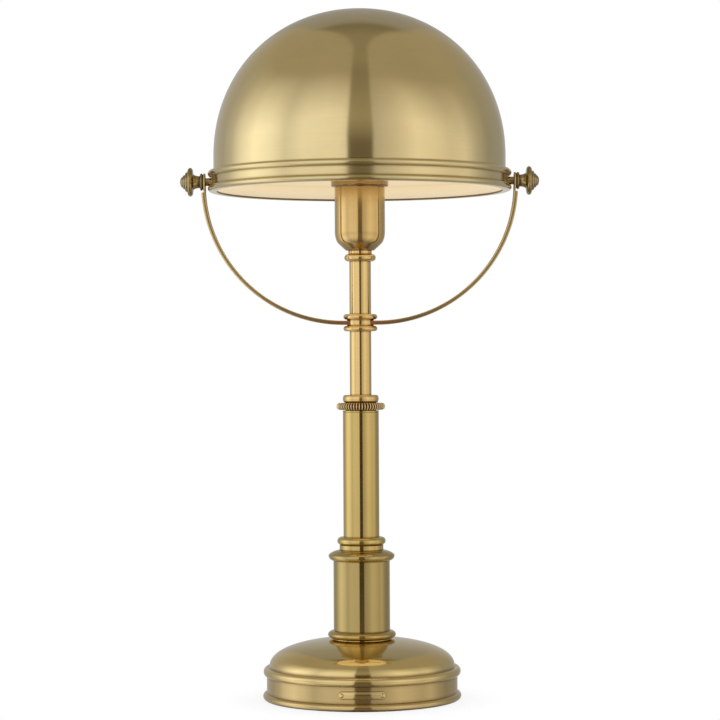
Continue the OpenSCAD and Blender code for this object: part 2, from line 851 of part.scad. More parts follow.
// From the board along the bottom plate, round a bend and up the nipple to the coil
module base_lead() {
    run_z = plate_z1 + lead_r;
    color("dimgray")
        rotate([0, 0, port_angle]) {
            rod(lead_r, run_z + lead_bend_r, plug_z1);
            translate([0, lead_bend_r, run_z + lead_bend_r])
                rotate([0, 90, 0])
                    rotate([0, 0, -90])
                        rotate_extrude(angle = 90) translate([lead_bend_r, 0]) circle(r = lead_r);
            back_rod(lead_r, lead_bend_r, chip_y0, run_z);
            translate([0, chip_y0 - wire_d, 0]) rod(wire_d / 2, run_z, board_z0);
        }
}

module pedestal_foot() {
    spigot_r = sleeve_in_r - seat_play;
    bore_r = tube_r + seat_play;
    color("goldenrod")
        turned(concat(
            [[bore_r, seat_z], [foot_neck_r, seat_z], [foot_neck_r, foot_z0]],
            bead(sleeve_r, foot_z0, sleeve_z0, foot_ring_proud),
            [[spigot_r, sleeve_z0], [spigot_r, sleeve_z0 + spigot_h], [bore_r, sleeve_z0 + spigot_h]]));
}

module pedestal_sleeve() {
    color("goldenrod") ring(sleeve_in_r, sleeve_r, sleeve_z0, sleeve_z1);
}

module pedestal_cap() {
    spigot_r = sleeve_in_r - seat_play;
    bore_r = tube_r + seat_play;
    cap_mid_z = sleeve_z1 + cap_h / 2;
    color("goldenrod")
        turned(concat(
            [[bore_r, sleeve_z1 - spigot_h], [spigot_r, sleeve_z1 - spigot_h], [spigot_r, sleeve_z1]],
            quarter(sleeve_r, cap_mid_z, cap_proud, cap_h / 2, -90, 0),
            full_quarter(step_r, cap_mid_z, sleeve_r + cap_proud - step_r, cap_h / 2, cap_fullness),
            [[bore_r, cap_z1]]));
}

module tube_collar() {
    bore_r = tube_r + seat_play;
    bead_r = tube_r + min(step_proud, collar_proud) / 2;
    color("goldenrod")
        turned(concat(
            [[bore_r, cap_z1], [step_r, cap_z1], [step_r, step_z1]],
            bead(bead_r, step_z1, collar_z1, tube_r + collar_proud - bead_r),
            [[bore_r, collar_z1]]));
}

module lower_tube() {
    color("goldenrod") ring(tube_in_r, tube_r, tube_z0, tube_z1);
}

module tube_plug() {
    color("darkgoldenrod") ring(nipple_hole_r, tube_in_r - seat_play, tube_z0, plug_z1);
}

module coiled_lead() {
    color("dimgray") rod(coil_d / 2, plug_z1, piston_z0 - free_gap);
}

module gland_body() {
    barrel_r = tube_in_r - seat_play;
    color("goldenrod")
        turned([
            [stem_pass_r, gland_z0], [barrel_r, gland_z0], [barrel_r, tube_z1], [tube_r, tube_z1],
            [tube_r, gland_z1], [neck_r, gland_z1], [neck_r, gland_roof_z], [neck_in_r, gland_roof_z],
            [neck_in_r, gland_z0 + gland_lip_t], [stem_pass_r, gland_z0 + gland_lip_t]
        ]);
}

module gland_cap() {
    bore_r = neck_r + seat_play;
    proud = gland_cap_h / 2;
    cap_r = tube_r + gland_cap_over;
    bead_r = max(cap_r - proud / 2, bore_r);
    color("goldenrod")
        turned(concat(
            [[bore_r, gland_cap_z0]],
            bead(bead_r, gland_cap_z0, gland_cap_z1, cap_r - bead_r),
            [[stem_pass_r, gland_cap_z1], [stem_pass_r, gland_roof_z], [bore_r, gland_roof_z]]));
}

module lock_ring() {
    core_r = ring_d / 2 - ridge_depth;
    round_w = (ring_h - ridge_h) / 2;
    ridge_z0 = (ring_z0 + ring_z1 - ridge_h) / 2;
    ridges = [
        for (i = [0:2 * ridge_count - 1])
            let (a = 180 * i / ridge_count, r = ring_d / 2 - (i % 2) * ridge_depth)
            [r * cos(a), r * sin(a)]
    ];
    color("goldenrod") {
        turned([
            [ring_in_r, ring_z0], [core_r - round_w, ring_z0], [core_r, ring_z0 + round_w],
            [core_r, ring_z1 - round_w], [core_r - round_w, ring_z1], [ring_in_r, ring_z1]
        ]);
        difference() {
            translate([0, 0, ridge_z0]) linear_extrude(ridge_h) polygon(ridges);
            rod(core_r - round_w, ridge_z0 - cut, ridge_z0 + ridge_h + cut);
        }
    }
}

module swivel_bush() {
    color("ivory")
        ring(bush_in_r, bush_r, gland_z0 + gland_lip_t + face_play, gland_roof_z - face_play);
}

module guide_piston() {
    bore_r = stem_r + seat_play;
    side_r = tube_in_r - run_play;
    lead_hole_r = lead_r + free_gap;
    color("ivory")
        turned([
            [lead_hole_r, piston_z0], [side_r, piston_z0], [side_r, piston_z1], [bore_r, piston_z1],
            [bore_r, piston_z0 + piston_floor], [lead_hole_r, piston_z0 + piston_floor]
        ]);
}

module lower_stem() {
    plug_z = yoke_z0 - thread_len;
    color("goldenrod")
        turned([
            [stem_in_r, piston_z0 + piston_floor], [stem_r, piston_z0 + piston_floor], [stem_r, yoke_z0],
            [nipple_hole_r, yoke_z0], [nipple_hole_r, plug_z], [stem_in_r, plug_z]
        ]);
}

module hub_lower() {
    bore_r = stem_r + seat_play;
    bead_r = stem_r + flare_proud;
    color("goldenrod")
        turned(concat(
            [[bore_r, spool_z0]],
            bead(bead_r, spool_z0, spool_z0 + spool_bead_h, spool_d / 2 - bead_r),
            [[eye_d / 2, yoke_z0], [bore_r, yoke_z0]]));
}

module hub_upper() {
    bore_r = stem_r + seat_play;
    bead_r = stem_r + flare_proud;
    color("goldenrod")
        turned(concat(
            [[bore_r, yoke_z1], [eye_d / 2, yoke_z1]],
            bead(bead_r, spool_z1 - spool_bead_h, spool_z1, spool_d / 2 - bead_r),
            [[bore_r, spool_z1]]));
}

module hub_nipple() {
    color("silver") ring(nipple_bore / 2, nipple_r, yoke_z0 - thread_len, yoke_z1 + thread_len);
}

module upper_stem() {
    plug_low = yoke_z1 + thread_len;
    plug_high = cup_z0 - thread_len;
    color("goldenrod")
        turned([
            [nipple_hole_r, yoke_z1], [stem_r, yoke_z1], [stem_r, cup_z0], [nipple_hole_r, cup_z0],
            [nipple_hole_r, plug_high], [stem_in_r, plug_high], [stem_in_r, plug_low],
            [nipple_hole_r, plug_low]
        ]);
}

module stem_lead() {
    color("dimgray") rod(lead_r, piston_z0, holder_z0);
}

// Half of the strip's outline: straight middle, bend and straight end up to the pivot
module strip_half() {
    outer_r = bend_r + strip_t / 2;
    inner_r = bend_r - strip_t / 2;
    translate([0, yoke_z0]) square([strip_flat, strip_t]);
    translate([strip_flat, bend_z])
        difference() {
            intersection() {
                circle(r = outer_r, $fn = 180);
                translate([0, -outer_r]) square(outer_r);
            }
            circle(r = inner_r, $fn = 180);
        }
    translate([arm_in_x, bend_z]) square([strip_t, pivot_z - bend_z]);
}

module yoke() {
    shoulder_z = pivot_z - tab_drop;
    color("goldenrod")
        difference() {
            union() {
                translate([0, strip_w / 2, 0])
                    rotate([90, 0, 0])
                        linear_extrude(strip_w) {
                            strip_half();
                            mirror([1, 0]) strip_half();
                        }
                both_sides() pivot_rod(strip_w / 2, arm_in_x, tab_x);
                rod(eye_d / 2, yoke_z0, yoke_z1);
            }
            both_sides() {
                translate([tab_x, -strip_w, shoulder_z]) cube([2 * strip_t, 2 * strip_w, 2 * tab_drop]);
                pivot_rod(stud_hole_r, arm_in_x - cut, tab_x + cut);
            }
            rod(nipple_hole_r, yoke_z0 - cut, yoke_z1 + cut);
        }
}

module cup_collar() {
    bore_r = stem_r + seat_play;
    neck_side_r = stem_r + cup_neck_proud;
    color("goldenrod")
        turned(concat(
            [[bore_r, cup_bead_z0]],
            bead(neck_side_r, cup_bead_z0, cup_bead_z1, cup_bead_proud - cup_neck_proud),
            [[neck_side_r, cup_z0], [bore_r, cup_z0]]));
}

module cup_nipple() {
    color("silver") ring(nipple_bore / 2, nipple_r, cup_z0 - thread_len, cup_nut_z1 + nipple_proud);
}

module cup_nut() {
    color("silver") hex_nut(nut_af, nipple_hole_r, cup_floor_z, cup_nut_z1);
}

// Angle at which a line from a point under an ellipse about [r, z] touches its lower outer side
function touch_angle(point, r, z, rr, rz) =
    let (across = (point[0] - r) / rr, up = (point[1] - z) / rz)
    atan2(up, across) + acos(1 / norm([across, up]));

// Cup's side from its foot up to its straight part, drawn in by the wall for the inside
function cup_side(foot_z, wall) =
    let (foot = [cup_foot_d / 2 - wall, foot_z], r = cup_r - cup_shoulder_w - wall, z = cup_z0 + cup_bowl_h)
    let (start = touch_angle(foot, r, z, cup_shoulder_w, cup_shoulder_h))
    concat([foot], quarter(r, z, cup_shoulder_w, cup_shoulder_h, start, 0));

module socket_cup() {
    flange_z0 = cup_z1 - cup_flange_h;
    flange_r = cup_flange_d / 2;
    color("goldenrod")
        turned(concat(
            [[nipple_hole_r, cup_z0]],
            cup_side(cup_z0, 0),
            [[cup_r, flange_z0], [flange_r - cup_bevel, flange_z0], [flange_r, flange_z0 + cup_bevel],
                [flange_r, cup_z1], [cup_r - cup_wall, cup_z1]],
            reversed(cup_side(cup_floor_z, cup_wall)),
            [[nipple_hole_r, cup_floor_z]]));
}

module lamp_holder() {
    foot_in_r = holder_foot_r - holder_foot_wall;
    wire_hole_r = wire_d / 2;
    color("white")
        turned([
            [foot_in_r, cup_floor_z], [holder_foot_r, cup_floor_z], [holder_foot_r, holder_z0],
            [holder_d / 2, holder_z0], [holder_d / 2, holder_z1], [shell_r + seat_play, holder_z1],
            [shell_r + seat_play, holder_floor_z], [wire_hole_r, holder_floor_z],
            [wire_hole_r, holder_z0], [foot_in_r, holder_z0]
        ]);
}

module screw_shell() {
    color("orange") ring(shell_in_r, shell_r, holder_floor_z, holder_z1);
}

module centre_contact() {
    color("orange")
        turned([
            [0, holder_floor_z], [contact_d / 2, holder_floor_z],
            [contact_d / 2, holder_floor_z + contact_foot_t], [contact_tip_d / 2, bulb_z0], [0, bulb_z0]
        ]);
}

module bulb_cap() {
    color("lightgray")
        turned([
            [0, bulb_z0], [contact_d / 2, bulb_z0], [bulb_cap_r, bulb_z0 + cap_cone_h],
            [bulb_cap_r, bulb_cap_z1], [0, bulb_cap_z1]
        ]);
}

// The glass from its neck to its crown, drawn in by the wall for the inside
function globe_side(r, neck) = let (a0 = -acos(neck / r)) concat(
    [[neck, bulb_cap_z1]],
    [for (i = [0:curve_steps])
        let (a = a0 + (90 - a0) * i / curve_steps)
        [max(0, r * cos(a)), globe_z + r * sin(a)]]);

module bulb_globe() {
    color("lightyellow")
        turned(concat(
            globe_side(globe_r, bulb_neck_r),
            reversed(globe_side(globe_r - glass_t, bulb_neck_r - glass_t))));
}

module pivot_washers() {
    color("saddlebrown")
        both_sides()
            difference() {
                pivot_rod(pivot_washer_d / 2, washer_x, washer_x + pivot_washer_t);
                pivot_rod(stud_hole_r, washer_x - cut, knob_x + cut);
            }
}

// Straight wall and round top of a shell, drawn in from the shade's outside
function shade_side(inset) = concat(
    [[shade_r - inset, rim_ledge_z]],
    full_quarter(0, shade_mid_z, shade_r - inset, shade_rise - inset, shade_fullness, shade_steps));

module dome_shell(inset, t) {
    turned(concat(shade_side(inset), reversed(shade_side(inset + t))));
}

module shade_dome() {
    color("goldenrod") dome_shell(0, shade_t);
}

module shade_lining() {
    color("antiquewhite") dome_shell(shade_t + seat_play, lining_t);
}

module shade_rim() {
    socket_r = shade_r + seat_play;
    color("goldenrod")
        difference() {
            turned(concat(
                [[rim_lip_r, rim_z0]],
                bead(rim_band_r, rim_z0, rim_band_z0, rim_bead_proud),
                bead(rim_band_r, rim_band_z1, rim_z1, rim_bead_proud),
                [[socket_r, rim_z1], [socket_r, rim_ledge_z], [rim_lip_r, rim_ledge_z]]));
            both_sides() pivot_rod(stud_r + seat_play, rim_lip_r - strip_w, rim_bead_r + cut);
        }
}

module pivot_studs() {
    color("goldenrod")
        both_sides() {
            pivot_rod(stud_r, stud_nut_x - stud_nut_h - nipple_proud, stud_end_x);
            pivot_rod(stud_shoulder_d / 2, rim_band_r, arm_in_x - face_play);
        }
}

module stud_nuts() {
    color("silver")
        both_sides()
            translate([stud_nut_x - stud_nut_h, 0, pivot_z])
                rotate([0, 90, 0])
                    hex_nut(stud_nut_af, stud_r + seat_play, 0, stud_nut_h);
}

// Turned finial knob on the right-hand pivot
module knob() {
    base_r = knob_base_d / 2;
    waist_r = knob_waist_d / 2;
    flare_r = knob_flare_d / 2;
    disc_r = knob_disc_d / 2;
    step_edge_r = knob_step_d / 2;
    button_edge_r = knob_button_d / 2;
    tip_r = knob_tip_d / 2;
    step_turn = min(knob_step_round, step_edge_r - button_edge_r);
    button_turn = min(knob_step_round, button_edge_r - tip_r);
    base_z = knob_base_len;
    disc_z = knob_disc_x - knob_x;
    step_z = knob_step_x - knob_x;
    button_z = step_z + knob_step_h;
    tip_z = knob_tip_x - knob_x;
    outline = concat(
        [[stud_hole_r, 0]],
        bead(waist_r, 0, base_z, base_r - waist_r),
        quarter(flare_r, base_z, waist_r - flare_r, disc_z - base_z, 0, 90),
        bead(disc_r - knob_disc_round, disc_z, step_z, knob_disc_round),
        quarter(step_edge_r - step_turn, step_z, step_turn, knob_step_h, 0, 90),
        quarter(button_edge_r - button_turn, button_z, button_turn, knob_step_h, 0, 90),
        full_quarter(0, tip_z, tip_r, knob_tip_len, 2),
        [[0, knob_thread], [stud_hole_r, knob_thread]]);
    translate([knob_x, 0, pivot_z]) rotate([0, 90, 0]) turned(outline);
}

module right_knob() {
    color("goldenrod") knob();
}

module left_knob() {
    color("goldenrod") mirror([1, 0, 0]) knob();
}

base_shell();
base_weight();
bottom_plate();
plate_screws();
felt_ring();
battery_cells();
battery_tray();
control_board();
charge_port();
switch_body();
button_bezel();
power_button();
name_plate();
plate_rivets();
base_nipple();
nipple_washer();
nipple_nut();
base_lead();
pedestal_foot();
pedestal_sleeve();
pedestal_cap();
tube_collar();
lower_tube();
tube_plug();
coiled_lead();
gland_body();
gland_cap();
lock_ring();
swivel_bush();
guide_piston();
lower_stem();
hub_lower();
hub_nipple();
hub_upper();
upper_stem();
stem_lead();
yoke();
cup_collar();
cup_nipple();
cup_nut();
socket_cup();
lamp_holder();
screw_shell();
centre_contact();
bulb_cap();
bulb_globe();
pivot_washers();
shade_dome();
shade_lining();
shade_rim();
pivot_studs();
stud_nuts();
left_knob();
right_knob();
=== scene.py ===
"""Domed brass desk lamp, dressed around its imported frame.

Turned pieces are lathed from outlines with rounded corners, the yoke is a swept strip and every
finish is made of nodes. Lengths are in metres in the frame's own axes: +Z up, front towards -Y.
"""
import json
import math

import bmesh
import bpy
from bpy.props import FloatProperty, FloatVectorProperty, IntProperty, PointerProperty
from mathutils import Matrix, Vector

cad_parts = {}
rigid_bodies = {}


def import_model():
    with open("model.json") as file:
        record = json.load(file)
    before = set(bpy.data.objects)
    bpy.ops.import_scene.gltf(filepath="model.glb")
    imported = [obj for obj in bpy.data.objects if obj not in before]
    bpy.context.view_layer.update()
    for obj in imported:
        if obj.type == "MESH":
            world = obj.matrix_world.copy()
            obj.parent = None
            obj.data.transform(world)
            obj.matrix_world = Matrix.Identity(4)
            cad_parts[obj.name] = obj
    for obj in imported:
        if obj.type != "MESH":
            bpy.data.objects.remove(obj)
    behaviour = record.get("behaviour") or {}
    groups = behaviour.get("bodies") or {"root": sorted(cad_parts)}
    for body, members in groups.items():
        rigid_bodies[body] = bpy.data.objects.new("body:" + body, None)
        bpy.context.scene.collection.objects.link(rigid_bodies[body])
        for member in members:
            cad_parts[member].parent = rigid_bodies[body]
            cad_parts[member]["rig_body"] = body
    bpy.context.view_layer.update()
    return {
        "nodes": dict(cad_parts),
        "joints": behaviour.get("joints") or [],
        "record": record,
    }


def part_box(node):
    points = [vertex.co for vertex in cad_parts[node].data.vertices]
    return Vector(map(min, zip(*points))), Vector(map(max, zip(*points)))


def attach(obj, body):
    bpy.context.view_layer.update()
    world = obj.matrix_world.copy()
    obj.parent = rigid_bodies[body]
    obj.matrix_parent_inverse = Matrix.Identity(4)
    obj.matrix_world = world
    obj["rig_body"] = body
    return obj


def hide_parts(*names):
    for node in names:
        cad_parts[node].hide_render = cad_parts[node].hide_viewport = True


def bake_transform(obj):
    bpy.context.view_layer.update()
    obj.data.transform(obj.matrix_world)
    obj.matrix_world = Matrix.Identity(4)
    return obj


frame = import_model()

bl_info = {
    "name": "Domed Desk Lamp",
    "version": (1, 0, 0),
    "blender": (4, 5, 0),
    "location": "3D View > Sidebar > Lamp",
    "description": "Builds a domed brass desk lamp around its packed frame",
    "category": "Object",
}

NODES = frame["nodes"]
PIVOT = next(Vector(joint["pos_m"]) for joint in frame["joints"] if joint["name"] == "shade_tilt")
PORT = next(mount for mount in frame["record"]["mounts"] if mount["name"] == "charging_socket")

# Segments round a turned piece
SEGMENTS = 192
BASE_SEGMENTS = 240
SHADE_SEGMENTS = 256
KNOB_SEGMENTS = 128
SMALL_SEGMENTS = 96
# Steps along arcs of several lengths, and round a corner
SHORT_STEPS = 8
ARC_STEPS = 20
LONG_STEPS = 40
DOME_STEPS = 80
CORNER_STEPS = 4
# Fullness of a curve that is an ellipse
ELLIPSE = 2.0
# Rounds on the corners of turned pieces
EDGE = 0.0004
FINE_EDGE = 0.0003
CRISP_EDGE = 0.0002
CUP_EDGE = 0.0006
BULB_EDGE = 0.006
# Bends sharper than this are rounded, and a round takes at most this share of a side
SHARP_TURN = math.radians(25)
SIDE_SHARE = 0.36
# How far the held edges lie outside a round, as a share of its reach
HOLD = 1.3
ON_AXIS = 1e-6
# Room round pieces that are set in, and round pieces that move
PLAY = 0.0001
FREE_PLAY = 0.0004
# A face looks inwards where its normal keeps at least this share of that direction
INWARDS = 0.8
# Sockets of a node that mixes two colours
MIX_SHARE = 0
MIX_FIRST = 6
MIX_SECOND = 7
MIX_RESULT = 2
WHITE = (1.0, 1.0, 1.0, 1.0)
# Name of the mesh value that says how deep a point lies in a milled groove
GROOVE = "groove"


def length(name, description, default):
    """A size in metres that a user may change."""
    return FloatProperty(
        name=name, description=description, default=default, min=0.0, unit="LENGTH", precision=5)


def share(name, description, default, most=1.0):
    """A plain number without a unit."""
    return FloatProperty(
        name=name, description=description, default=default, min=0.0, max=most, precision=3)


def tint(name, description, default):
    """A colour, in linear light."""
    return FloatVectorProperty(
        name=name, description=description, default=default, size=3, min=0.0, max=1.0, subtype="COLOR")


class LampBaseSizes(bpy.types.PropertyGroup):
    """Sizes of the base and the pedestal that the frame's boxes don't give."""

    foot_bead_height: length("Foot bead height", "Height of the base's lower bead", 0.0066)
    foot_bead_proud: length("Foot bead reach", "How far the lower bead stands out past the band", 0.0033)
    band_height: length("Band height", "Height of the plain band between the beads", 0.0144)
    top_bead_height: length("Top bead height", "Height of the base's upper bead", 0.0075)
    top_bead_proud: length("Top bead reach", "How far the upper bead stands out past the band", 0.0028)
    dome_step: length("Dome step", "How far the dome starts inside the band", 0.0023)
    dome_fullness: share("Dome fullness", "Fullness of the dome's curve, where 2 is an ellipse", 2.3, 4.0)
    wall: length("Wall", "Thickness of the base's cast wall", 0.0024)
    seat_margin: length("Seat margin", "How far the flat seat reaches past the pedestal", 0.0014)
    neck_height: length("Neck height", "Height of the ring under the pedestal's foot bead", 0.0005)
    neck_proud: length("Neck reach", "How far that ring stands out past the sleeve", 0.0006)
    sleeve_wall: length("Sleeve wall", "Thickness of the pedestal's sleeve", 0.0015)
    cap_fullness: share("Cap fullness", "Fullness of the cap's upper slope, where 2 is an ellipse", 1.5, 4.0)
    plate_thickness: length("Plate thickness", "Thickness of the blank plate", 0.0008)
    plate_bevel: length("Plate bevel", "Bevel round the blank plate's face", 0.0003)


class LampColumnSizes(bpy.types.PropertyGroup):
    """Sizes of the column, the lock ring and the stem."""

    step_height: length("Step height", "Height of the step under the collar bead", 0.0044)
    step_proud: length("Step reach", "How far the step stands out past the tube", 0.0035)
    tube_wall: length("Tube wall", "Thickness of the column's tube", 0.0015)
    stem_wall: length("Stem wall", "Thickness of the stem's tube", 0.0012)
    gland_flange: length("Gland flange", "Height of the flange on the tube's end", 0.0015)
    gland_neck: length("Gland neck", "Radius of the neck under the lock ring", 0.0134)
    cap_proud: length("Gland cap reach", "How far the gland cap's round side stands out", 0.0017)
    ridge_count: IntProperty(name="Ridges", description="Ridges round the lock ring", default=52, min=12)
    ridge_depth: length("Ridge depth", "Depth of the grooves between the ridges", 0.0013)
    ridge_share: share("Ridge share", "Half width of a ridge as a share of the ridges' pitch", 0.27, 0.5)
    spool_bead: length("Spool bead", "Height of a spool bead", 0.0048)
    spool_flare: length("Spool flare", "How far the spool's flare stands out past the stem", 0.0031)
    spool_waist: length("Spool waist", "How far the spool's waist stands out past the stem", 0.0021)
    lead_radius: length("Lead radius", "Radius of the lead wound in the tube", 0.0012)
    lead_curls: IntProperty(name="Curls", description="Curls of that lead", default=9, min=3)
    strip_width: length("Strip width", "Width of the yoke's strip", 0.0152)
    strip_reach: length("Strip reach", "Distance from the lamp's axis to the upright strip", 0.1363)
    strip_thickness: length("Strip thickness", "Thickness of the yoke's strip", 0.0035)
    strip_flat: length("Strip middle", "Half length of the strip's straight middle", 0.015)
    # Half length of the strip's middle that takes the painted red reflection
    strip_red: length("Red length", "Half length of the strip's reddened middle", 0.0285)
    strip_round: length("Strip edge", "Round on the strip's long edges", 0.0006)
    tab_thickness: length("Tab thickness", "Thickness of the strip's end tabs", 0.0015)
    tab_drop: length("Tab drop", "How far the tabs' shoulder lies under the pivot", 0.0096)


class LampShadeSizes(bpy.types.PropertyGroup):
    """Sizes of the cup, the bulb, the shade and the knobs."""

    cup_bead: length("Cup bead", "Height of the bead under the cup", 0.0066)
    cup_neck_proud: length("Cup neck reach", "How far the cup's neck stands out past the stem", 0.0009)
    cup_radius: length("Cup radius", "Radius of the cup's side", 0.0222)
    cup_foot: length("Cup foot", "Radius of the cup's flat foot", 0.0124)
    bowl_height: length("Bowl height", "Height of the cup's bowl under its straight side", 0.0167)
    shoulder_height: length("Shoulder height", "Height of the ellipse that rounds the bowl", 0.0121)
    shoulder_width: length("Shoulder width", "Width of the ellipse that rounds the bowl", 0.0062)
    flange_height: length("Flange height", "Height of the cup's flange", 0.0066)
    flange_bevel: length("Flange bevel", "Bevel under the cup's flange", 0.0011)
    cup_wall: length("Cup wall", "Thickness of the cup's wall", 0.0012)
    globe_radius: length("Globe radius", "Radius of the bulb's globe", 0.03)
    glass: length("Glass", "Thickness of the bulb's glass", 0.0008)
    dome_rise: length("Dome rise", "Height of the shade's curve above its straight wall", 0.1304)
    dome_fullness: share("Dome fullness", "Fullness of the shade's curve, where 2 is an ellipse", 2.08, 4.0)
    dome_sheet: length("Dome sheet", "Thickness of the spun dome", 0.001)
    lining_sheet: length("Lining sheet", "Thickness of the lining", 0.0006)
    rim_bead_proud: length("Rim bead reach", "How far the rim's beads stand out past its band", 0.0028)
    rim_low_bead: length("Lower rim bead", "Height of the rim's lower bead", 0.0052)
    rim_top_bead: length("Upper rim bead", "Height of the rim's upper bead", 0.0057)
    rim_lip: length("Rim lip", "How far the rim's lip turns in past the dome's outside", 0.0028)
    rim_edge: length("Rim edge", "Height of the rim's bare inner edge", 0.0016)
    rim_enamel: length("Rim enamel", "Thickness of the enamel on the rim's inside", 0.0002)
    knob_base: length("Knob base", "Radius of a knob's base bead", 0.0077)
    knob_base_length: length("Knob base length", "Length of a knob's base bead", 0.0028)
    knob_waist: length("Knob waist", "Least radius of a knob's waist", 0.0053)
    knob_waist_length: length("Knob waist length", "Length of a knob's waist", 0.006)
    knob_flare: length("Knob flare", "Radius of the waist where it meets the disc", 0.0079)
    knob_disc_thickness: length("Knob disc", "Thickness of a knob's disc", 0.0048)
    knob_disc_round: length("Knob disc round", "Reach of the round on a knob's disc", 0.0032)
    knob_step: length("Knob step", "Radius of the first step on a knob's face", 0.0088)
    knob_button: length("Knob button", "Radius of the second step on a knob's face", 0.0064)
    knob_step_height: length("Knob step height", "Height of each step on a knob's face", 0.0021)
    knob_step_round: length("Knob step round", "Reach of the round on each step", 0.0015)
    knob_tip: length("Knob tip", "Radius of a knob's tip", 0.0047)


class LampFinish(bpy.types.PropertyGroup):
    """Colours and strengths of the lamp's finishes."""

    shade_brass: tint("Shade brass", "Brass of the shade and its rim", (0.8, 0.65, 0.345))
    # Partly painted light: a golden brass whose warmth stands in for the bulb's warm light on the stem
    stem_brass: tint("Stem brass", "Golden brass of the stem and the button", (0.83, 0.595, 0.25))
    cup_brass: tint("Cup brass", "Browner brass of the cup", (0.75, 0.52, 0.21))
    column_brass: tint("Column brass", "Brass of the column", (0.69, 0.51, 0.185))
    # Partly painted shade: a browner brass than the column's, made darker for the dim table that the
    # pedestal reflects
    pedestal_brass: tint("Pedestal brass", "Darker brass of the pedestal", (0.56, 0.42, 0.165))
    base_brass: tint("Base brass", "Brass of the base", (0.8, 0.62, 0.285))
    yoke_brass: tint("Yoke brass", "Satin brass of the yoke", (0.8, 0.62, 0.32))
    # Painted shade: brown brass on the inward faces of the yoke and the rim, which darkens their reflections
    # of the lit lining
    aged_brass: tint("Aged brass", "Brown brass inside the yoke", (0.21, 0.145, 0.066))
    knob_brass: tint("Knob brass", "Darker brass of the knobs", (0.43, 0.33, 0.16))
    # Colour that bands are darkened towards: painted shade on the cup and the yoke, a plain darker band on
    # the base
    heated_brass: tint("Heated brass", "Brass darkened by the bulb's heat", (0.36, 0.23, 0.1))
    # Painted reflection: redder brass on the middle of the yoke's strip, for the brown it reflects there
    copper_tone: tint("Copper tone", "Redder brass of the yoke beside the spool", (0.68, 0.37, 0.185))
    # Painted shade: the dark colour that hollows and junctions are darkened towards
    groove_brass: tint("Groove brass", "Darkened brass in grooves", (0.16, 0.08, 0.025))
    rib_brass: tint("Rib brass", "Rubbed brass of the lock ring's ribs", (0.97, 0.74, 0.38))
    # Painted shade: the colour that the valleys between the lock ring's ribs are darkened towards
    valley_brass: tint("Valley brass", "Dirt between the lock ring's ribs", (0.09, 0.042, 0.012))
    enamel: tint("Enamel", "Cream enamel of the lining", (0.42, 0.375, 0.305))
    # Painted light: the lining's own glow, as though the bulb lit it
    lit_enamel: tint("Lit enamel", "Glow of the lit lining", (0.8, 0.652, 0.41))
    enamel_glow: share("Enamel glow", "Strength of the lining's own glow", 0.66, 5.0)
    bulb_glow: tint("Bulb glow", "Colour of the lit bulb", (1.0, 0.93, 0.82))
    bulb_strength: share("Bulb strength", "Strength of the lit bulb", 0.35, 50.0)


class LampStage(bpy.types.PropertyGroup):
    """Camera and light."""

    camera_distance: length("Camera distance", "Distance of the camera in front of the lamp", 2.147)
    camera_height: length("Camera height", "Height of the camera above the table", 0.296)
    camera_roll: FloatProperty(
        name="Camera roll", description="Roll of the camera", default=math.radians(0.3), subtype="ANGLE")
    lens: share("Lens", "Focal length of the camera, in millimetres on a 36 mm frame", 121.5, 300.0)
    side_shift: FloatProperty(
        name="Side shift", description="Sideways shift of the camera's frame", default=-0.0008)
    shift: FloatProperty(name="Shift", description="Vertical shift of the camera's frame", default=0.0056)
    fill: share("Fill", "Light of the white room on matt surfaces", 0.7, 2.0)
    left_light: share("Left light", "Brightness of the left-hand softbox", 0.7, 5.0)
    right_light: share("Right light", "Brightness of the right-hand softbox", 0.55, 5.0)
    left_tone: tint("Left tone", "Tone of the left-hand softbox in metal", (0.97, 0.98, 1.0))
    right_tone: tint("Right tone", "Tone of the right-hand softbox in metal", (1.0, 0.96, 0.9))
    gap_shift: share("Gap shift", "Sideways place of the gap between the softboxes", 0.012)
    gap_tone: tint("Gap tone", "Tone of the dark gap between the softboxes", (1.0, 0.9, 0.67))
    gap_low_tone: tint("Low gap tone", "Tone of that gap near the table", (1.0, 0.8, 0.56))
    ceiling: tint("Ceiling", "What metal sees above the softboxes", (0.41, 0.375, 0.3))


# Frame measures


def levels(node):
    """Lowest and highest level of a node."""
    low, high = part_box(node)
    return low.z, high.z


def outside(node):
    """Outer radius of a node that is turned about the lamp's axis."""
    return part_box(node)[1].x


# Outlines of (radius, height) points


def arc(centre, reach, start, end, steps=ARC_STEPS):
    """Points along part of an ellipse, between two angles in degrees."""
    points = []
    for step in range(steps + 1):
        angle = math.radians(start + (end - start) * step / steps)
        points.append((centre[0] + reach[0] * math.cos(angle), centre[1] + reach[1] * math.sin(angle)))
    return points


def bead(wall, low, high, proud):
    """Half round that stands out of a wall, from its lower to its upper edge."""
    return arc((wall, (low + high) / 2), (proud, (high - low) / 2), -90, 90)


def full_curve(centre, reach, fullness, end=90.0, steps=ARC_STEPS):
    """Points along a quarter of a fuller or flatter ellipse, up from its foot."""
    power = 2 / fullness
    points = []
    for step in range(steps + 1):
        angle = math.radians(end * step / steps)
        across = math.cos(angle) ** power if step < steps or end < 90 else 0.0
        points.append((centre[0] + reach[0] * across, centre[1] + reach[1] * math.sin(angle) ** power))
    return points


def tube(inner, outer, low, high):
    """Outline of a plain tube."""
    return [(inner, low), (outer, low), (outer, high), (inner, high)]


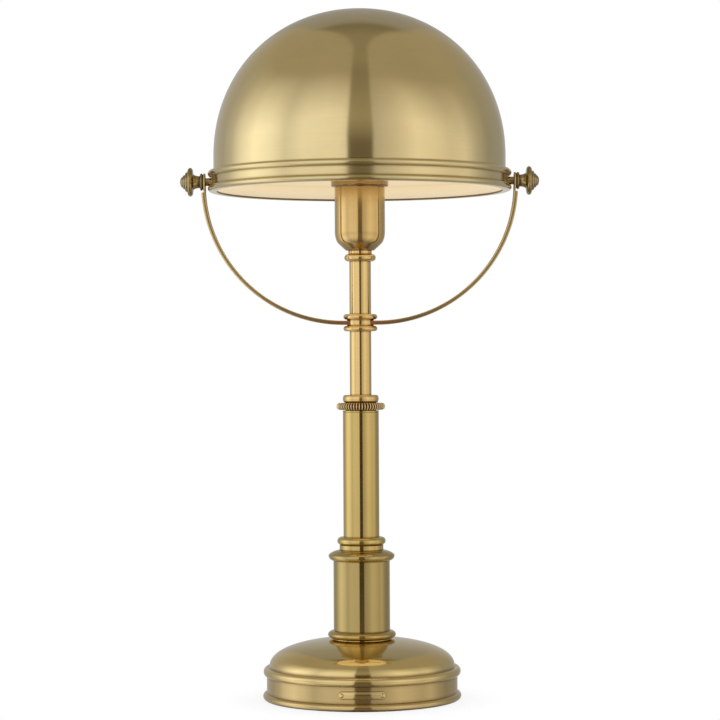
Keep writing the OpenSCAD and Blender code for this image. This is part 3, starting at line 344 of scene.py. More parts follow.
def soften(outline, size):
    """The same closed outline with its sharp corners rounded, and a held edge beside each round."""
    corners = [Vector(point) for point in outline]
    corners = [here for index, here in enumerate(corners) if (here - corners[index - 1]).length > ON_AXIS]
    points = []
    for index, here in enumerate(corners):
        back = corners[index - 1] - here
        on = corners[(index + 1) % len(corners)] - here
        turn = math.pi - back.angle(on)
        if turn < SHARP_TURN or here.x < ON_AXIS:
            points.append(here)
            continue
        reach = min(size * math.tan(turn / 2), SIDE_SHARE * back.length, SIDE_SHARE * on.length)
        start = back.normalized() * reach
        end = on.normalized() * reach
        points.append(here + start * HOLD)
        for step in range(CORNER_STEPS + 1):
            along = step / CORNER_STEPS
            points.append(here + start * (1 - along) ** 2 + end * along ** 2)
        points.append(here + end * HOLD)
    return points


# Meshes


def mesh_object(name, form):
    """Smooth-shaded object of a bmesh, with its faces turned outwards."""
    bmesh.ops.recalc_face_normals(form, faces=form.faces[:])
    for face in form.faces:
        face.smooth = True
    mesh = bpy.data.meshes.new(name)
    form.to_mesh(mesh)
    form.free()
    piece = bpy.data.objects.new(name, mesh)
    bpy.context.scene.collection.objects.link(piece)
    return piece


def join_rings(form, rings, closed):
    """Faces between each ring of vertices and the next."""
    following = rings[1:] + rings[:1] if closed else rings[1:]
    for ring, other in zip(rings, following):
        for index in range(len(ring)):
            past = (index + 1) % len(ring)
            corners = list(dict.fromkeys((ring[index], ring[past], other[past], other[index])))
            if len(corners) > 2:
                form.faces.new(corners)


def capped(name, form, rings):
    """Object of rings in a row, with its two ends closed."""
    join_rings(form, rings, closed=False)
    form.faces.new(rings[0])
    form.faces.new(rings[-1])
    return mesh_object(name, form)


def lathe(name, outline, segments=SEGMENTS, groove=None):
    """Closed outline turned about Z; groove gives a point's new radius and how deep it lies."""
    form = bmesh.new()
    deep = form.verts.layers.float.new(GROOVE) if groove else None
    rings = []
    for radius, height in outline:
        if radius < ON_AXIS:
            rings.append([form.verts.new((0, 0, height))] * segments)
            continue
        ring = []
        for index in range(segments):
            angle = math.tau * index / segments
            reach, depth = groove(angle, radius) if groove else (radius, 0.0)
            ring.append(form.verts.new((reach * math.cos(angle), reach * math.sin(angle), height)))
            if groove:
                ring[-1][deep] = depth
        rings.append(ring)
    join_rings(form, rings, closed=True)
    return mesh_object(name, form)


def stand_for(piece, material, *nodes):
    """The piece takes the place, body and slot of these nodes."""
    piece.data.materials.clear()
    piece.data.materials.append(material)
    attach(piece, NODES[nodes[0]]["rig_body"])
    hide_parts(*nodes)
    return piece


def turned(name, outline, edge, material, node, segments=SEGMENTS, place=None):
    """Piece turned from an outline with rounded corners, set in its place to stand for a node."""
    piece = lathe(name, soften(outline, edge), segments)
    if place is not None:
        piece.matrix_world = place
    return stand_for(piece, material, node)


def paint(material, *nodes):
    """Nodes that keep their own mesh take this finish."""
    for node in nodes:
        NODES[node].data.materials.clear()
        NODES[node].data.materials.append(material)


# Node trees


class Graph:
    """Adds nodes and links to one node tree."""

    def __init__(self, tree):
        self.tree = tree

    def add(self, kind, inputs=None, **settings):
        """New node with its settings, and values or links for its inputs."""
        node = self.tree.nodes.new(kind)
        for key, value in settings.items():
            setattr(node, key, value)
        for key, value in (inputs or {}).items():
            self.feed(node.inputs[key], value)
        return node

    def feed(self, socket, value):
        """Value or link for one input."""
        if isinstance(value, bpy.types.NodeSocket):
            self.tree.links.new(value, socket)
        else:
            socket.default_value = value

    def math(self, operation, first, second=0.0):
        """Result of one sum."""
        return self.add("ShaderNodeMath", {0: first, 1: second}, operation=operation).outputs[0]

    def vector(self, operation, inputs, output="Vector"):
        """Result of one sum with vectors or colours."""
        return self.add("ShaderNodeVectorMath", inputs, operation=operation).outputs[output]

    def span(self, value, low, high, to_low=0.0, to_high=1.0):
        """Value moved from one range to another, held inside it."""
        settings = {"Value": value, "From Min": low, "From Max": high, "To Min": to_low, "To Max": to_high}
        return self.add("ShaderNodeMapRange", settings).outputs["Result"]

    def mix(self, factor, first, second):
        """Colour between two colours."""
        node = self.add("ShaderNodeMix", data_type="RGBA")
        self.feed(node.inputs[MIX_SHARE], factor)
        self.feed(node.inputs[MIX_FIRST], first)
        self.feed(node.inputs[MIX_SECOND], second)
        return node.outputs[MIX_RESULT]

    def place(self):
        """Place on the piece, in its own axes."""
        return self.add("ShaderNodeTexCoord").outputs["Object"]

    def height(self):
        """Height on the piece, along its own Z axis."""
        return self.add("ShaderNodeSeparateXYZ", {0: self.place()}).outputs["Z"]


def opaque(colour, strength=1.0):
    """Colour made darker or lighter, with full alpha."""
    return (*[min(1.0, part * strength) for part in colour], 1.0)


def new_group(name, inputs, outputs):
    """Empty shader node group with float inputs and outputs; returns it with its two end nodes."""
    group = bpy.data.node_groups.new(name, "ShaderNodeTree")
    for label, default in inputs.items():
        socket = group.interface.new_socket(label, in_out="INPUT", socket_type="NodeSocketFloat")
        socket.default_value = default
    for label in outputs:
        group.interface.new_socket(label, in_out="OUTPUT", socket_type="NodeSocketFloat")
    graph = Graph(group)
    return group, graph, graph.add("NodeGroupInput"), graph.add("NodeGroupOutput")


# The part of each noise, bend or shelter that is spread from nothing to all
GRAIN_SPAN = (0.3, 0.7)
CLOUD_SPAN = (0.32, 0.68)
EDGE_SPAN = (0.52, 0.6)
HOLLOW_SPAN = (0.45, 0.96)


def turned_grain():
    """Fine lines that a lathe leaves round a piece's Z axis."""
    group, graph, given, result = new_group(
        "Turned grain", {"Fineness": 1500.0, "Streak": 5.0}, ("Grain",))
    place = graph.place()
    flat = graph.vector("MULTIPLY", {0: place, 1: (1.0, 1.0, 0.0)})
    radius = graph.vector("LENGTH", {0: flat}, "Value")
    heading = graph.vector("NORMALIZE", {0: flat})
    around = graph.vector("SCALE", {0: heading, "Scale": given.outputs["Streak"]})
    height = graph.add("ShaderNodeSeparateXYZ", {0: place}).outputs["Z"]
    line = graph.math("MULTIPLY", height, given.outputs["Fineness"])
    up = graph.add("ShaderNodeCombineXYZ", {"Z": line}).outputs[0]
    spot = graph.vector("ADD", {0: around, 1: up})
    depth = graph.math("MULTIPLY", radius, given.outputs["Fineness"])
    settings = {"Vector": spot, "W": depth, "Scale": 1.0, "Detail": 2.0}
    noise = graph.add("ShaderNodeTexNoise", settings, noise_dimensions="4D")
    graph.feed(result.inputs["Grain"], graph.span(noise.outputs["Fac"], *GRAIN_SPAN))
    return group


def patina():
    """Slow clouds over a surface."""
    group, graph, given, result = new_group("Patina", {"Scale": 16.0}, ("Clouds",))
    settings = {"Vector": graph.place(), "Scale": given.outputs["Scale"], "Detail": 5.0, "Roughness": 0.6}
    noise = graph.add("ShaderNodeTexNoise", settings)
    graph.feed(result.inputs["Clouds"], graph.span(noise.outputs["Fac"], *CLOUD_SPAN))
    return group


def edge_wear():
    """Masks of rubbed edges, and of hollows that little open sky reaches, where shade is painted in."""
    group, graph, given, result = new_group("Edge wear", {"Reach": 0.002}, ("Edge", "Hollow"))
    bend = graph.add("ShaderNodeNewGeometry").outputs["Pointiness"]
    graph.feed(result.inputs["Edge"], graph.span(bend, *EDGE_SPAN))
    open_sky = graph.add("ShaderNodeAmbientOcclusion", {"Distance": given.outputs["Reach"]}, samples=16)
    graph.feed(result.inputs["Hollow"], graph.span(open_sky.outputs["AO"], *HOLLOW_SPAN, 1.0, 0.0))
    return group


def use_group(graph, make, **values):
    """Node of the shared group that a function makes once, with its own values."""
    name = make.__name__.replace("_", " ").capitalize()
    node = graph.add("ShaderNodeGroup", node_tree=bpy.data.node_groups.get(name) or make())
    for label, value in values.items():
        node.inputs[label].default_value = value
    return node.outputs


def new_material(name):
    """Empty material; returns it with its graph and its main shader."""
    material = bpy.data.materials.new(name)
    material.use_nodes = True
    return material, Graph(material.node_tree), material.node_tree.nodes["Principled BSDF"]


# Finishes


# Brasses: colour among the finish's properties, roughness, stretch of the lathe's streaks, strength of the
# painted shade in hollows and its reach
BRASSES = {
    "Shade brass": ("shade_brass", 0.12, 3.0, 0.6, 0.0016),
    "Rim brass": ("shade_brass", 0.19, 3.0, 0.9, 0.0022),
    "Stem brass": ("stem_brass", 0.12, 0.6, 0.8, 0.0016),
    "Cup brass": ("cup_brass", 0.17, 0.6, 0.8, 0.0016),
    "Milled brass": ("rib_brass", 0.15, 0.6, 0.4, 0.0016),
    "Knob brass": ("knob_brass", 0.1, 0.6, 0.9, 0.0012),
    "Yoke brass": ("yoke_brass", 0.28, 0.6, 0.0, 0.0016),
    "Copper brass": ("copper_tone", 0.28, 0.6, 0.0, 0.0016),
    "Base brass": ("base_brass", 0.11, 1.2, 0.9, 0.003),
    "Column brass": ("column_brass", 0.1, 1.2, 0.8, 0.0016),
    "Pedestal brass": ("pedestal_brass", 0.1, 1.2, 0.8, 0.0016),
    "Foot brass": ("pedestal_brass", 0.1, 1.2, 0.0, 0.0016),
}
# Lathe lines and clouds on brass, to a metre
LATHE_LINES = 900.0
BRASS_CLOUDS = 14.0
# Shares of a brass's colour where it is clouded, scored by the lathe and rubbed bright
CLOUDED = 0.92
SCORED = 0.84
RUBBED = 1.12
# How strongly the lathe's lines and the rubbed edges show in the colour
LINE_STRENGTH = 0.2
RUB_STRENGTH = 0.4
# How far the lines and the clouds change the roughness
LINE_GLOSS = 0.02
CLOUD_GLOSS = 0.015
# Strength and depth of the lines' relief
LINE_RELIEF = 0.02
LINE_DEPTH = 0.0001
# Stretch of the highlights across the lines, and its turn
STRETCH = 0.75
STRETCH_TURN = 0.25
# Height over which the painted shade in hollows fades out
HOLLOW_SHADE_FADE = 0.004
# Darkening bands: where they start, where they are full, and their strength. The cup's painted shade round
# its flange is in flange heights under its top, its painted shade at its foot in bowl heights above its
# foot, the yoke's painted shade in metres
CUP_FLANGE_SHADE = (2.5, 0.9, 1.0)
CUP_FOOT_SHADE = (0.55, 0.1, 0.75)
# Painted shade on the yoke's strip, from this height above its lowest point down
YOKE_LOW_SHADE = (0.03, 0.003, 0.6)
# Strength of the darkening of the base below its dome
BASE_LOW_DARKENING = 0.35
# Plain finishes: colour or its name among the finish's properties, roughness, metal, mottling to a
# metre, and the amount and the relief of that
PLAIN = {
    "Aged brass": ("aged_brass", 0.4, 1.0, 60.0, 0.2, 0.04),
    "Cream enamel": ("enamel", 0.4, 0.0, 60.0, 0.02, 0.02),
    "Stud brass": ((0.5, 0.36, 0.17), 0.22, 1.0, 200.0, 0.12, 0.1),
    "Fibre washer": ((0.16, 0.075, 0.035), 0.5, 0.0, 900.0, 0.3, 0.1),
    "Glazed porcelain": ((0.82, 0.8, 0.74), 0.15, 0.0, 80.0, 0.03, 0.1),
    "Pressed brass": ((0.72, 0.5, 0.2), 0.3, 1.0, 300.0, 0.12, 0.1),
    "Rolled cap": ((0.7, 0.7, 0.69), 0.35, 1.0, 300.0, 0.12, 0.1),
    "Plated steel": ((0.56, 0.56, 0.57), 0.32, 1.0, 700.0, 0.08, 0.1),
    "Felt": ((0.02, 0.06, 0.035), 0.9, 0.0, 2500.0, 0.5, 0.6),
    "Black paint": ((0.02, 0.02, 0.021), 0.45, 0.0, 900.0, 0.12, 0.2),
    "Cast iron": ((0.07, 0.068, 0.066), 0.7, 0.6, 400.0, 0.3, 0.5),
    "Cell wrap": ((0.03, 0.1, 0.4), 0.3, 0.0, 50.0, 0.05, 0.1),
    "Moulded black": ((0.015, 0.015, 0.016), 0.5, 0.0, 1200.0, 0.12, 0.1),
    "Circuit board": ((0.015, 0.13, 0.05), 0.35, 0.0, 500.0, 0.2, 0.1),
    "Zinc plate": ((0.52, 0.52, 0.5), 0.36, 1.0, 500.0, 0.1, 0.1),
    "Lead sheath": ((0.02, 0.02, 0.02), 0.6, 0.0, 1500.0, 0.12, 0.1),
    "Bearing plastic": ((0.6, 0.56, 0.47), 0.45, 0.0, 700.0, 0.06, 0.1),
}
# How far mottling changes the roughness, and the depth of its relief
MOTTLE_GLOSS = 0.05
MOTTLE_DEPTH = 0.0002
# Opal glass: its colour and roughness, and how far its light and its tone fall towards the neck
OPAL = (0.95, 0.92, 0.86)
OPAL_ROUGHNESS = 0.25
NECK_LIGHT = 0.45
NECK_TONE = 0.6
FELT_SHEEN = 0.5


def brass(name, unshaded_height=None, darkenings=(), groove=None):
    """Turned brass of that name: lathe lines, slow patina, rubbed edges, painted shade in hollows below the
    unshaded height, darkening bands from a clear to a darkest height, and painted shade in milled grooves."""
    found = bpy.data.materials.get(name)
    if found:
        return found
    finish = bpy.context.scene.lamp_finish
    key, polish, streak, hollow_shade, reach = BRASSES[name]
    colour = getattr(finish, key)
    material, graph, shader = new_material(name)
    grain = use_group(graph, turned_grain, Fineness=LATHE_LINES, Streak=streak)["Grain"]
    clouds = use_group(graph, patina, Scale=BRASS_CLOUDS)["Clouds"]
    edges_and_shade = use_group(graph, edge_wear, Reach=reach)
    height = graph.height()
    surface = graph.mix(clouds, opaque(colour), opaque(colour, CLOUDED))
    # Darkening bands: painted shade on the cup and the yoke, a plain darker band on the base
    for tone, clear, darkest, strength in darkenings:
        surface = graph.mix(graph.span(height, clear, darkest, 0.0, strength), surface, opaque(tone))
    lines = graph.math("MULTIPLY", grain, LINE_STRENGTH)
    surface = graph.mix(lines, surface, opaque(colour, SCORED))
    edges = graph.math("MULTIPLY", edges_and_shade["Edge"], RUB_STRENGTH)
    surface = graph.mix(edges, surface, opaque(colour, RUBBED))
    # Painted shade: hollows that little open sky reaches are darkened towards the hollow shade tone
    dark = graph.math("MULTIPLY", edges_and_shade["Hollow"], hollow_shade)
    if unshaded_height:
        dark = graph.math("MULTIPLY", dark, graph.span(height, unshaded_height, unshaded_height + HOLLOW_SHADE_FADE, 1.0, 0.0))
    surface = graph.mix(dark, surface, opaque(finish.groove_brass))
    # Painted shade in milled grooves, darker where a point lies deeper
    if groove:
        depth = graph.add("ShaderNodeAttribute", attribute_name=groove).outputs["Fac"]
        surface = graph.mix(depth, surface, opaque(finish.valley_brass))
    graph.feed(shader.inputs["Base Color"], surface)
    rough = graph.span(grain, 0.0, 1.0, polish - LINE_GLOSS, polish + LINE_GLOSS)
    cloudy = graph.span(clouds, 0.0, 1.0, -CLOUD_GLOSS, CLOUD_GLOSS)
    graph.feed(shader.inputs["Roughness"], graph.math("ADD", rough, cloudy))
    bump = graph.add("ShaderNodeBump", {"Height": grain, "Strength": LINE_RELIEF, "Distance": LINE_DEPTH})
    graph.feed(shader.inputs["Normal"], bump.outputs["Normal"])
    shader.inputs["Metallic"].default_value = 1.0
    shader.inputs["Anisotropic"].default_value = STRETCH
    shader.inputs["Anisotropic Rotation"].default_value = STRETCH_TURN
    tangent = graph.add("ShaderNodeTangent", direction_type="RADIAL", axis="Z")
    graph.feed(shader.inputs["Tangent"], tangent.outputs["Tangent"])
    return material


def cup_brass():
    """Brass of the cup, with painted shade darkening it round its flange and at its foot."""
    low, high = levels("socket_cup")
    sizes = bpy.context.scene.lamp_shade
    tone = bpy.context.scene.lamp_finish.heated_brass
    clear, full, strength = CUP_FLANGE_SHADE
    flange_shade = (tone, high - clear * sizes.flange_height, high - full * sizes.flange_height, strength)
    clear, full, strength = CUP_FOOT_SHADE
    low_shade = (tone, low + clear * sizes.bowl_height, low + full * sizes.bowl_height, strength)
    return brass("Cup brass", darkenings=(flange_shade, low_shade))


def yoke_brass():
    """Satin brass of the yoke's strip, with painted shade darkening it towards its middle."""
    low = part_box("yoke")[0].z
    clear, full, strength = YOKE_LOW_SHADE
    low_shade = (bpy.context.scene.lamp_finish.heated_brass, low + clear, low + full, strength)
    return brass("Yoke brass", darkenings=(low_shade,))


def base_brass():
    """Brass of the base, darker below its dome."""
    sizes = bpy.context.scene.lamp_base
    edge = sizes.foot_bead_height + sizes.band_height
    dome = edge + sizes.top_bead_height
    darker_below = (bpy.context.scene.lamp_finish.heated_brass, dome, edge, BASE_LOW_DARKENING)
    # The painted shade in hollows stops a little above the dome's foot
    return brass("Base brass", unshaded_height=dome + HOLLOW_SHADE_FADE, darkenings=(darker_below,))


def mottled(name):
    """Plain finish of that name, with fine mottling in its colour, gloss and relief."""
    found = bpy.data.materials.get(name)
    if found:
        return found
    colour, roughness, metallic, scale, amount, relief = PLAIN[name]
    if isinstance(colour, str):
        colour = getattr(bpy.context.scene.lamp_finish, colour)
    material, graph, shader = new_material(name)
    clouds = use_group(graph, patina, Scale=scale)["Clouds"]
    surface = graph.mix(clouds, opaque(colour, 1 - amount), opaque(colour, 1 + amount))
    graph.feed(shader.inputs["Base Color"], surface)
    rough = graph.span(clouds, 0.0, 1.0, roughness - MOTTLE_GLOSS, roughness + MOTTLE_GLOSS)
    graph.feed(shader.inputs["Roughness"], rough)
    bump = graph.add("ShaderNodeBump", {"Height": clouds, "Strength": relief, "Distance": MOTTLE_DEPTH})
    graph.feed(shader.inputs["Normal"], bump.outputs["Normal"])
    shader.inputs["Metallic"].default_value = metallic
    return material


def enamel():
    """Cream enamel with a painted glow, as though lit by the bulb inside the shade."""
    finish = bpy.context.scene.lamp_finish
    material = mottled("Cream enamel")
    shader = material.node_tree.nodes["Principled BSDF"]
    # Painted light: the enamel glows by itself
    shader.inputs["Emission Color"].default_value = opaque(finish.lit_enamel)
    shader.inputs["Emission Strength"].default_value = finish.enamel_glow
    return material


def opal_glass():
    """Lit opal glass, a little dimmer towards its neck."""
    finish = bpy.context.scene.lamp_finish
    material, graph, shader = new_material("Opal glass")
    low, high = levels("bulb_globe")
    lit = graph.span(graph.height(), low, (low + high) / 2, NECK_LIGHT, 1.0)
    glow = graph.mix(lit, opaque(finish.bulb_glow, NECK_TONE), opaque(finish.bulb_glow))
    graph.feed(shader.inputs["Emission Color"], glow)
    shader.inputs["Base Color"].default_value = opaque(OPAL)
    shader.inputs["Roughness"].default_value = OPAL_ROUGHNESS
    shader.inputs["Emission Strength"].default_value = finish.bulb_strength
    return material


def felt():
    """Dense green felt."""
    material = mottled("Felt")
    shader = material.node_tree.nodes["Principled BSDF"]
    shader.inputs["Sheen Weight"].default_value = FELT_SHEEN
    return material


# Pieces


class LAMP_OT_base(bpy.types.Operator):
    """Turn the base with its beads, band and dome, and cut the slot and the hole in its back"""

    bl_idname = "lamp.base"
    bl_label = "Base"

    # Half width of the charging socket, and where the cuts start and end
    PORT_HALF = 0.00447
    CUT_BACK = -0.006
    CUT_FRONT = 0.012
    # Steps round the slot's ends and the holes, and bends that stay sharp
    END_STEPS = 12
    HOLE_STEPS = 64
    SHARP = math.radians(50)

    def execute(self, context):
        sizes = context.scene.lamp_base
        low, seat = levels("base_shell")
        band = outside("base_shell") - sizes.foot_bead_proud
        inner = band - sizes.wall
        band_low = low + sizes.foot_bead_height
        band_high = band_low + sizes.band_height
        dome_low = band_high + sizes.top_bead_height
        hole = outside("base_nipple")
        seat_radius = outside("pedestal_sleeve") + sizes.neck_proud + sizes.seat_margin
        outline = [(inner, low)]
        outline += bead(band, low, band_low, sizes.foot_bead_proud)
        outline += bead(band, band_high, dome_low, sizes.top_bead_proud)
        outline += self.dome(band - sizes.dome_step, dome_low, seat_radius, seat)
        outline += [(hole, seat), (hole, seat - sizes.wall)]
        outline += reversed(self.dome(inner - sizes.dome_step, dome_low, seat_radius, seat - sizes.wall))
        outline += [(inner, band_high)]
        piece = lathe("turned_base", soften(outline, EDGE), BASE_SEGMENTS)
        self.cut(context, piece)
        stand_for(piece, base_brass(), "base_shell")
        return {"FINISHED"}

    def dome(self, foot, low, seat_radius, seat):
        """Curve of the dome from its foot up to the seat."""
        fullness = bpy.context.scene.lamp_base.dome_fullness
        end = math.degrees(math.acos((seat_radius / foot) ** (fullness / 2)))
        rise = (seat - low) / math.sin(math.radians(end)) ** (2 / fullness)
        return full_curve((0.0, low), (foot, rise), fullness, end, LONG_STEPS)

    def cut(self, context, piece):
        """Slot in front of the charging socket, and the button's hole with its bezel's seat."""
        low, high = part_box("charge_port")
        half = (high.z - low.z) / 2
        reach = (half + FREE_PLAY, half + FREE_PLAY)
        straight = self.PORT_HALF - half
        slot = arc((straight, 0.0), reach, -90, 90, self.END_STEPS)
        slot += arc((-straight, 0.0), reach, 90, 270, self.END_STEPS)
        cutters = [self.cutter(slot, (low + high) / 2, Vector(PORT["axis"]), self.CUT_BACK)]
        low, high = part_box("button_bezel")
        middle = Vector((0.0, low.y, (low.z + high.z) / 2))
        for node, back in (("button_bezel", 0.0), ("switch_body", self.CUT_BACK)):
            radius = outside(node) + PLAY
            hole = arc((0.0, 0.0), (radius, radius), 0, 360, self.HOLE_STEPS)[:-1]
            cutters.append(self.cutter(hole, middle, Vector((0, 1, 0)), back))
        for cutter in cutters:
            cut = piece.modifiers.new(cutter.name, "BOOLEAN")
            cut.object = cutter
            cut.operation = "DIFFERENCE"
            cut.solver = "EXACT"
        solved = piece.evaluated_get(context.evaluated_depsgraph_get())
        mesh = bpy.data.meshes.new_from_object(solved)
        mesh.set_sharp_from_angle(angle=self.SHARP)
        piece.modifiers.clear()
        piece.data = mesh
        for cutter in cutters:
            bpy.data.objects.remove(cutter)

    def cutter(self, outline, middle, out, back):
        """Prism of an upright outline, from behind to in front of its middle."""
        form = bmesh.new()
        across = Vector((-out.y, out.x, 0.0))
        rings = []
        for depth in (back, self.CUT_FRONT):
            centre = middle + out * depth
            rings.append([form.verts.new(centre + across * x + Vector((0, 0, z))) for x, z in outline])
        return capped("cutter", form, rings)


class LAMP_OT_name_plate(bpy.types.Operator):
    """Bend the blank plate round the band and finish its rivets"""

    bl_idname = "lamp.name_plate"
    bl_label = "Blank Plate"

    # Cuts along the straight part and along each round end, which starts at this angle
    STRAIGHT_STEPS = 24
    END_STEPS = 10
    END_START = 10

    def execute(self, context):
        band = outside("base_shell") - context.scene.lamp_base.foot_bead_proud
        low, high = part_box("name_plate")
        middle = (low.z + high.z) / 2
        tall = (high.z - low.z) / 2
        straight = math.asin(high.x / band) * band - tall
        right_end = arc((straight, 0.0), (tall, tall), self.END_START, 90, self.END_STEPS)
        columns = [(-along, half) for along, half in right_end]
        for step in range(1, self.STRAIGHT_STEPS):
            columns.append((straight * (2 * step / self.STRAIGHT_STEPS - 1), tall))
        columns += reversed(right_end)
        form = bmesh.new()
        rings = [self.column(form, band, middle, along, half) for along, half in columns]
        stand_for(capped("blank_plate", form, rings), base_brass(), "name_plate")
        paint(brass("Stem brass"), "plate_rivets")
        return {"FINISHED"}

    def column(self, form, band, middle, along, half):
        """One cut across the plate, with its face's edges bevelled."""
        sizes = bpy.context.scene.lamp_base
        face = band + sizes.plate_thickness
        edge = face - sizes.plate_bevel
        inset = max(half - sizes.plate_bevel, 0.0)
        angle = along / band
        lower = [(band, -half), (edge, -half), (face, -inset)]
        upper = [(face, inset), (edge, half), (band, half)]
        ring = []
        for radius, height in lower + upper:
            spot = (radius * math.sin(angle), -radius * math.cos(angle), middle + height)
            ring.append(form.verts.new(spot))
        return ring


class LAMP_OT_pedestal(bpy.types.Operator):
    """Turn the pedestal's foot, sleeve and cap"""

    bl_idname = "lamp.pedestal"
    bl_label = "Pedestal"

    # Share of the neck's height that its crisp corner takes
    CRISP = 0.1

    def execute(self, context):
        sizes = context.scene.lamp_base
        bore = outside("lower_tube")
        sleeve = outside("pedestal_sleeve")
        inner = sleeve - sizes.sleeve_wall
        sleeve_low, sleeve_high = levels("pedestal_sleeve")
        seat, foot_high = levels("pedestal_foot")
        cap_low, cap_high = levels("pedestal_cap")
        neck = sleeve + sizes.neck_proud
        foot_low = seat + sizes.neck_height
        crisp = sizes.neck_height * self.CRISP
        foot = [(bore, seat), (neck - crisp, seat), (neck, seat), (neck, seat + crisp), (neck, foot_low)]
        foot += bead(sleeve, foot_low, sleeve_low, outside("pedestal_foot") - sleeve)
        foot += [(inner, sleeve_low), (inner, foot_high), (bore, foot_high)]
        turned("turned_foot", foot, EDGE, brass("Foot brass"), "pedestal_foot")
        # The sleeve and the cap take the pedestal's brass with its painted shade
        dark = brass("Pedestal brass")
        wall = tube(inner, sleeve, sleeve_low, sleeve_high)
        turned("turned_sleeve", wall, CRISP_EDGE, dark, "pedestal_sleeve")
        widest = outside("pedestal_cap")
        middle = (sleeve_high + cap_high) / 2
        step = bore + context.scene.lamp_column.step_proud
        cap = [(bore, cap_low), (inner, cap_low), (inner, sleeve_high)]
        cap += arc((sleeve, middle), (widest - sleeve, middle - sleeve_high), -90, 0)
        cap += full_curve((step, middle), (widest - step, cap_high - middle), sizes.cap_fullness)[1:]
        cap += [(bore, cap_high)]
        turned("turned_cap", cap, EDGE, dark, "pedestal_cap")
        return {"FINISHED"}


class LAMP_OT_column(bpy.types.Operator):
    """Turn the collar, the tube, the gland and its cap"""

    bl_idname = "lamp.column"
    bl_label = "Column"

    # Thickness of the gland cap's top
    CAP_TOP = 0.003

    def execute(self, context):
        sizes = context.scene.lamp_column
        metal = brass("Column brass")
        side = outside("lower_tube")
        inner = side - sizes.tube_wall
        low, high = levels("tube_collar")
        step = side + sizes.step_proud
        step_high = low + sizes.step_height
        wall = side + sizes.step_proud / 2
        collar = [(side, low), (step, low), (step, step_high)]
        collar += bead(wall, step_high, high, outside("tube_collar") - wall)
        collar += [(side, high)]
        turned("turned_collar", collar, EDGE, metal, "tube_collar")
        turned("drawn_tube", tube(inner, side, *levels("lower_tube")), EDGE, metal, "lower_tube")
        self.gland(sizes, side, inner, metal)
        return {"FINISHED"}

    def gland(self, sizes, side, inner, metal):
        """Flange and neck on the tube's end, and the cap bead over the lock ring."""
        low, high = levels("gland_body")
        tube_end = levels("lower_tube")[1]
        flange = tube_end + sizes.gland_flange
        bore = outside("swivel_bush")
        body = [(bore, low), (inner, low), (inner, tube_end), (side, tube_end), (side, flange)]
        body += [(sizes.gland_neck, flange), (sizes.gland_neck, high), (bore, high)]
        turned("turned_gland", body, FINE_EDGE, metal, "gland_body")
        low, high = levels("gland_cap")
        hole = outside("lower_stem") + FREE_PLAY
        wall = outside("gland_cap") - sizes.cap_proud
        under = high - self.CAP_TOP
        cap = [(sizes.gland_neck, low)] + bead(wall, low, high, sizes.cap_proud)
        cap += [(hole, high), (hole, under), (sizes.gland_neck, under)]
        turned("turned_gland_cap", cap, FINE_EDGE, brass("Stem brass"), "gland_cap")


class LAMP_OT_lock_ring(bpy.types.Operator):
    """Turn the lock ring and mill its rounded ridges"""

    bl_idname = "lamp.lock_ring"
    bl_label = "Lock Ring"

    RIDGE_SEGMENTS = 20

    def execute(self, context):
        sizes = context.scene.lamp_column
        low, high = levels("lock_ring")
        bore = sizes.gland_neck + PLAY
        reach = (high - low) / 2
        wall = outside("lock_ring") - reach
        outline = [(bore, low)] + bead(wall, low, high, reach) + [(bore, high)]

        def groove(angle, radius):
            place = (angle * sizes.ridge_count / math.tau) % 1.0 - 0.5
            ridge = math.sqrt(max(0.0, 1 - (place / sizes.ridge_share) ** 2))
            depth = min(1.0, max(0.0, 2 * (radius - wall) / reach))
            return radius - sizes.ridge_depth * depth * (1 - ridge), 1 - ridge

        segments = self.RIDGE_SEGMENTS * sizes.ridge_count
        ring = lathe("milled_lock_ring", soften(outline, FINE_EDGE), segments, groove)
        # The ring's valleys take painted shade by their depth
        stand_for(ring, brass("Milled brass", groove=GROOVE), "lock_ring")
        return {"FINISHED"}


class LAMP_OT_stem(bpy.types.Operator):
    """Turn the two stems, the spool's beads and the collar under the cup"""

    bl_idname = "lamp.stem"
    bl_label = "Stem"

    def execute(self, context):
        sizes = context.scene.lamp_column
        metal = brass("Stem brass")
        side = outside("lower_stem")
        for node in ("lower_stem", "upper_stem"):
            walls = tube(side - sizes.stem_wall, side, *levels(node))
            turned("drawn_" + node, walls, CRISP_EDGE, metal, node)
        flare = side + sizes.spool_flare
        waist = sizes.spool_flare - sizes.spool_waist
        low, high = levels("hub_lower")
        under = low + sizes.spool_bead
        lower = [(side, low)] + bead(flare, low, under, outside("hub_lower") - flare)
        lower += arc((flare, high), (waist, high - under), 270, 180, SHORT_STEPS)[1:] + [(side, high)]
        turned("turned_lower_hub", lower, CRISP_EDGE, metal, "hub_lower")
        low, high = levels("hub_upper")
        over = high - sizes.spool_bead
        upper = [(side, low)] + arc((flare, low), (waist, over - low), 180, 90, SHORT_STEPS)[:-1]
        upper += bead(flare, over, high, outside("hub_upper") - flare) + [(side, high)]
        turned("turned_upper_hub", upper, CRISP_EDGE, metal, "hub_upper")
        low, high = levels("cup_collar")
        bead_high = low + context.scene.lamp_shade.cup_bead
        neck = side + context.scene.lamp_shade.cup_neck_proud
        collar = [(side, low)] + bead(neck, low, bead_high, outside("cup_collar") - neck)
        collar += [(neck, high), (side, high)]
        turned("turned_cup_collar", collar, FINE_EDGE, metal, "cup_collar")
        return {"FINISHED"}


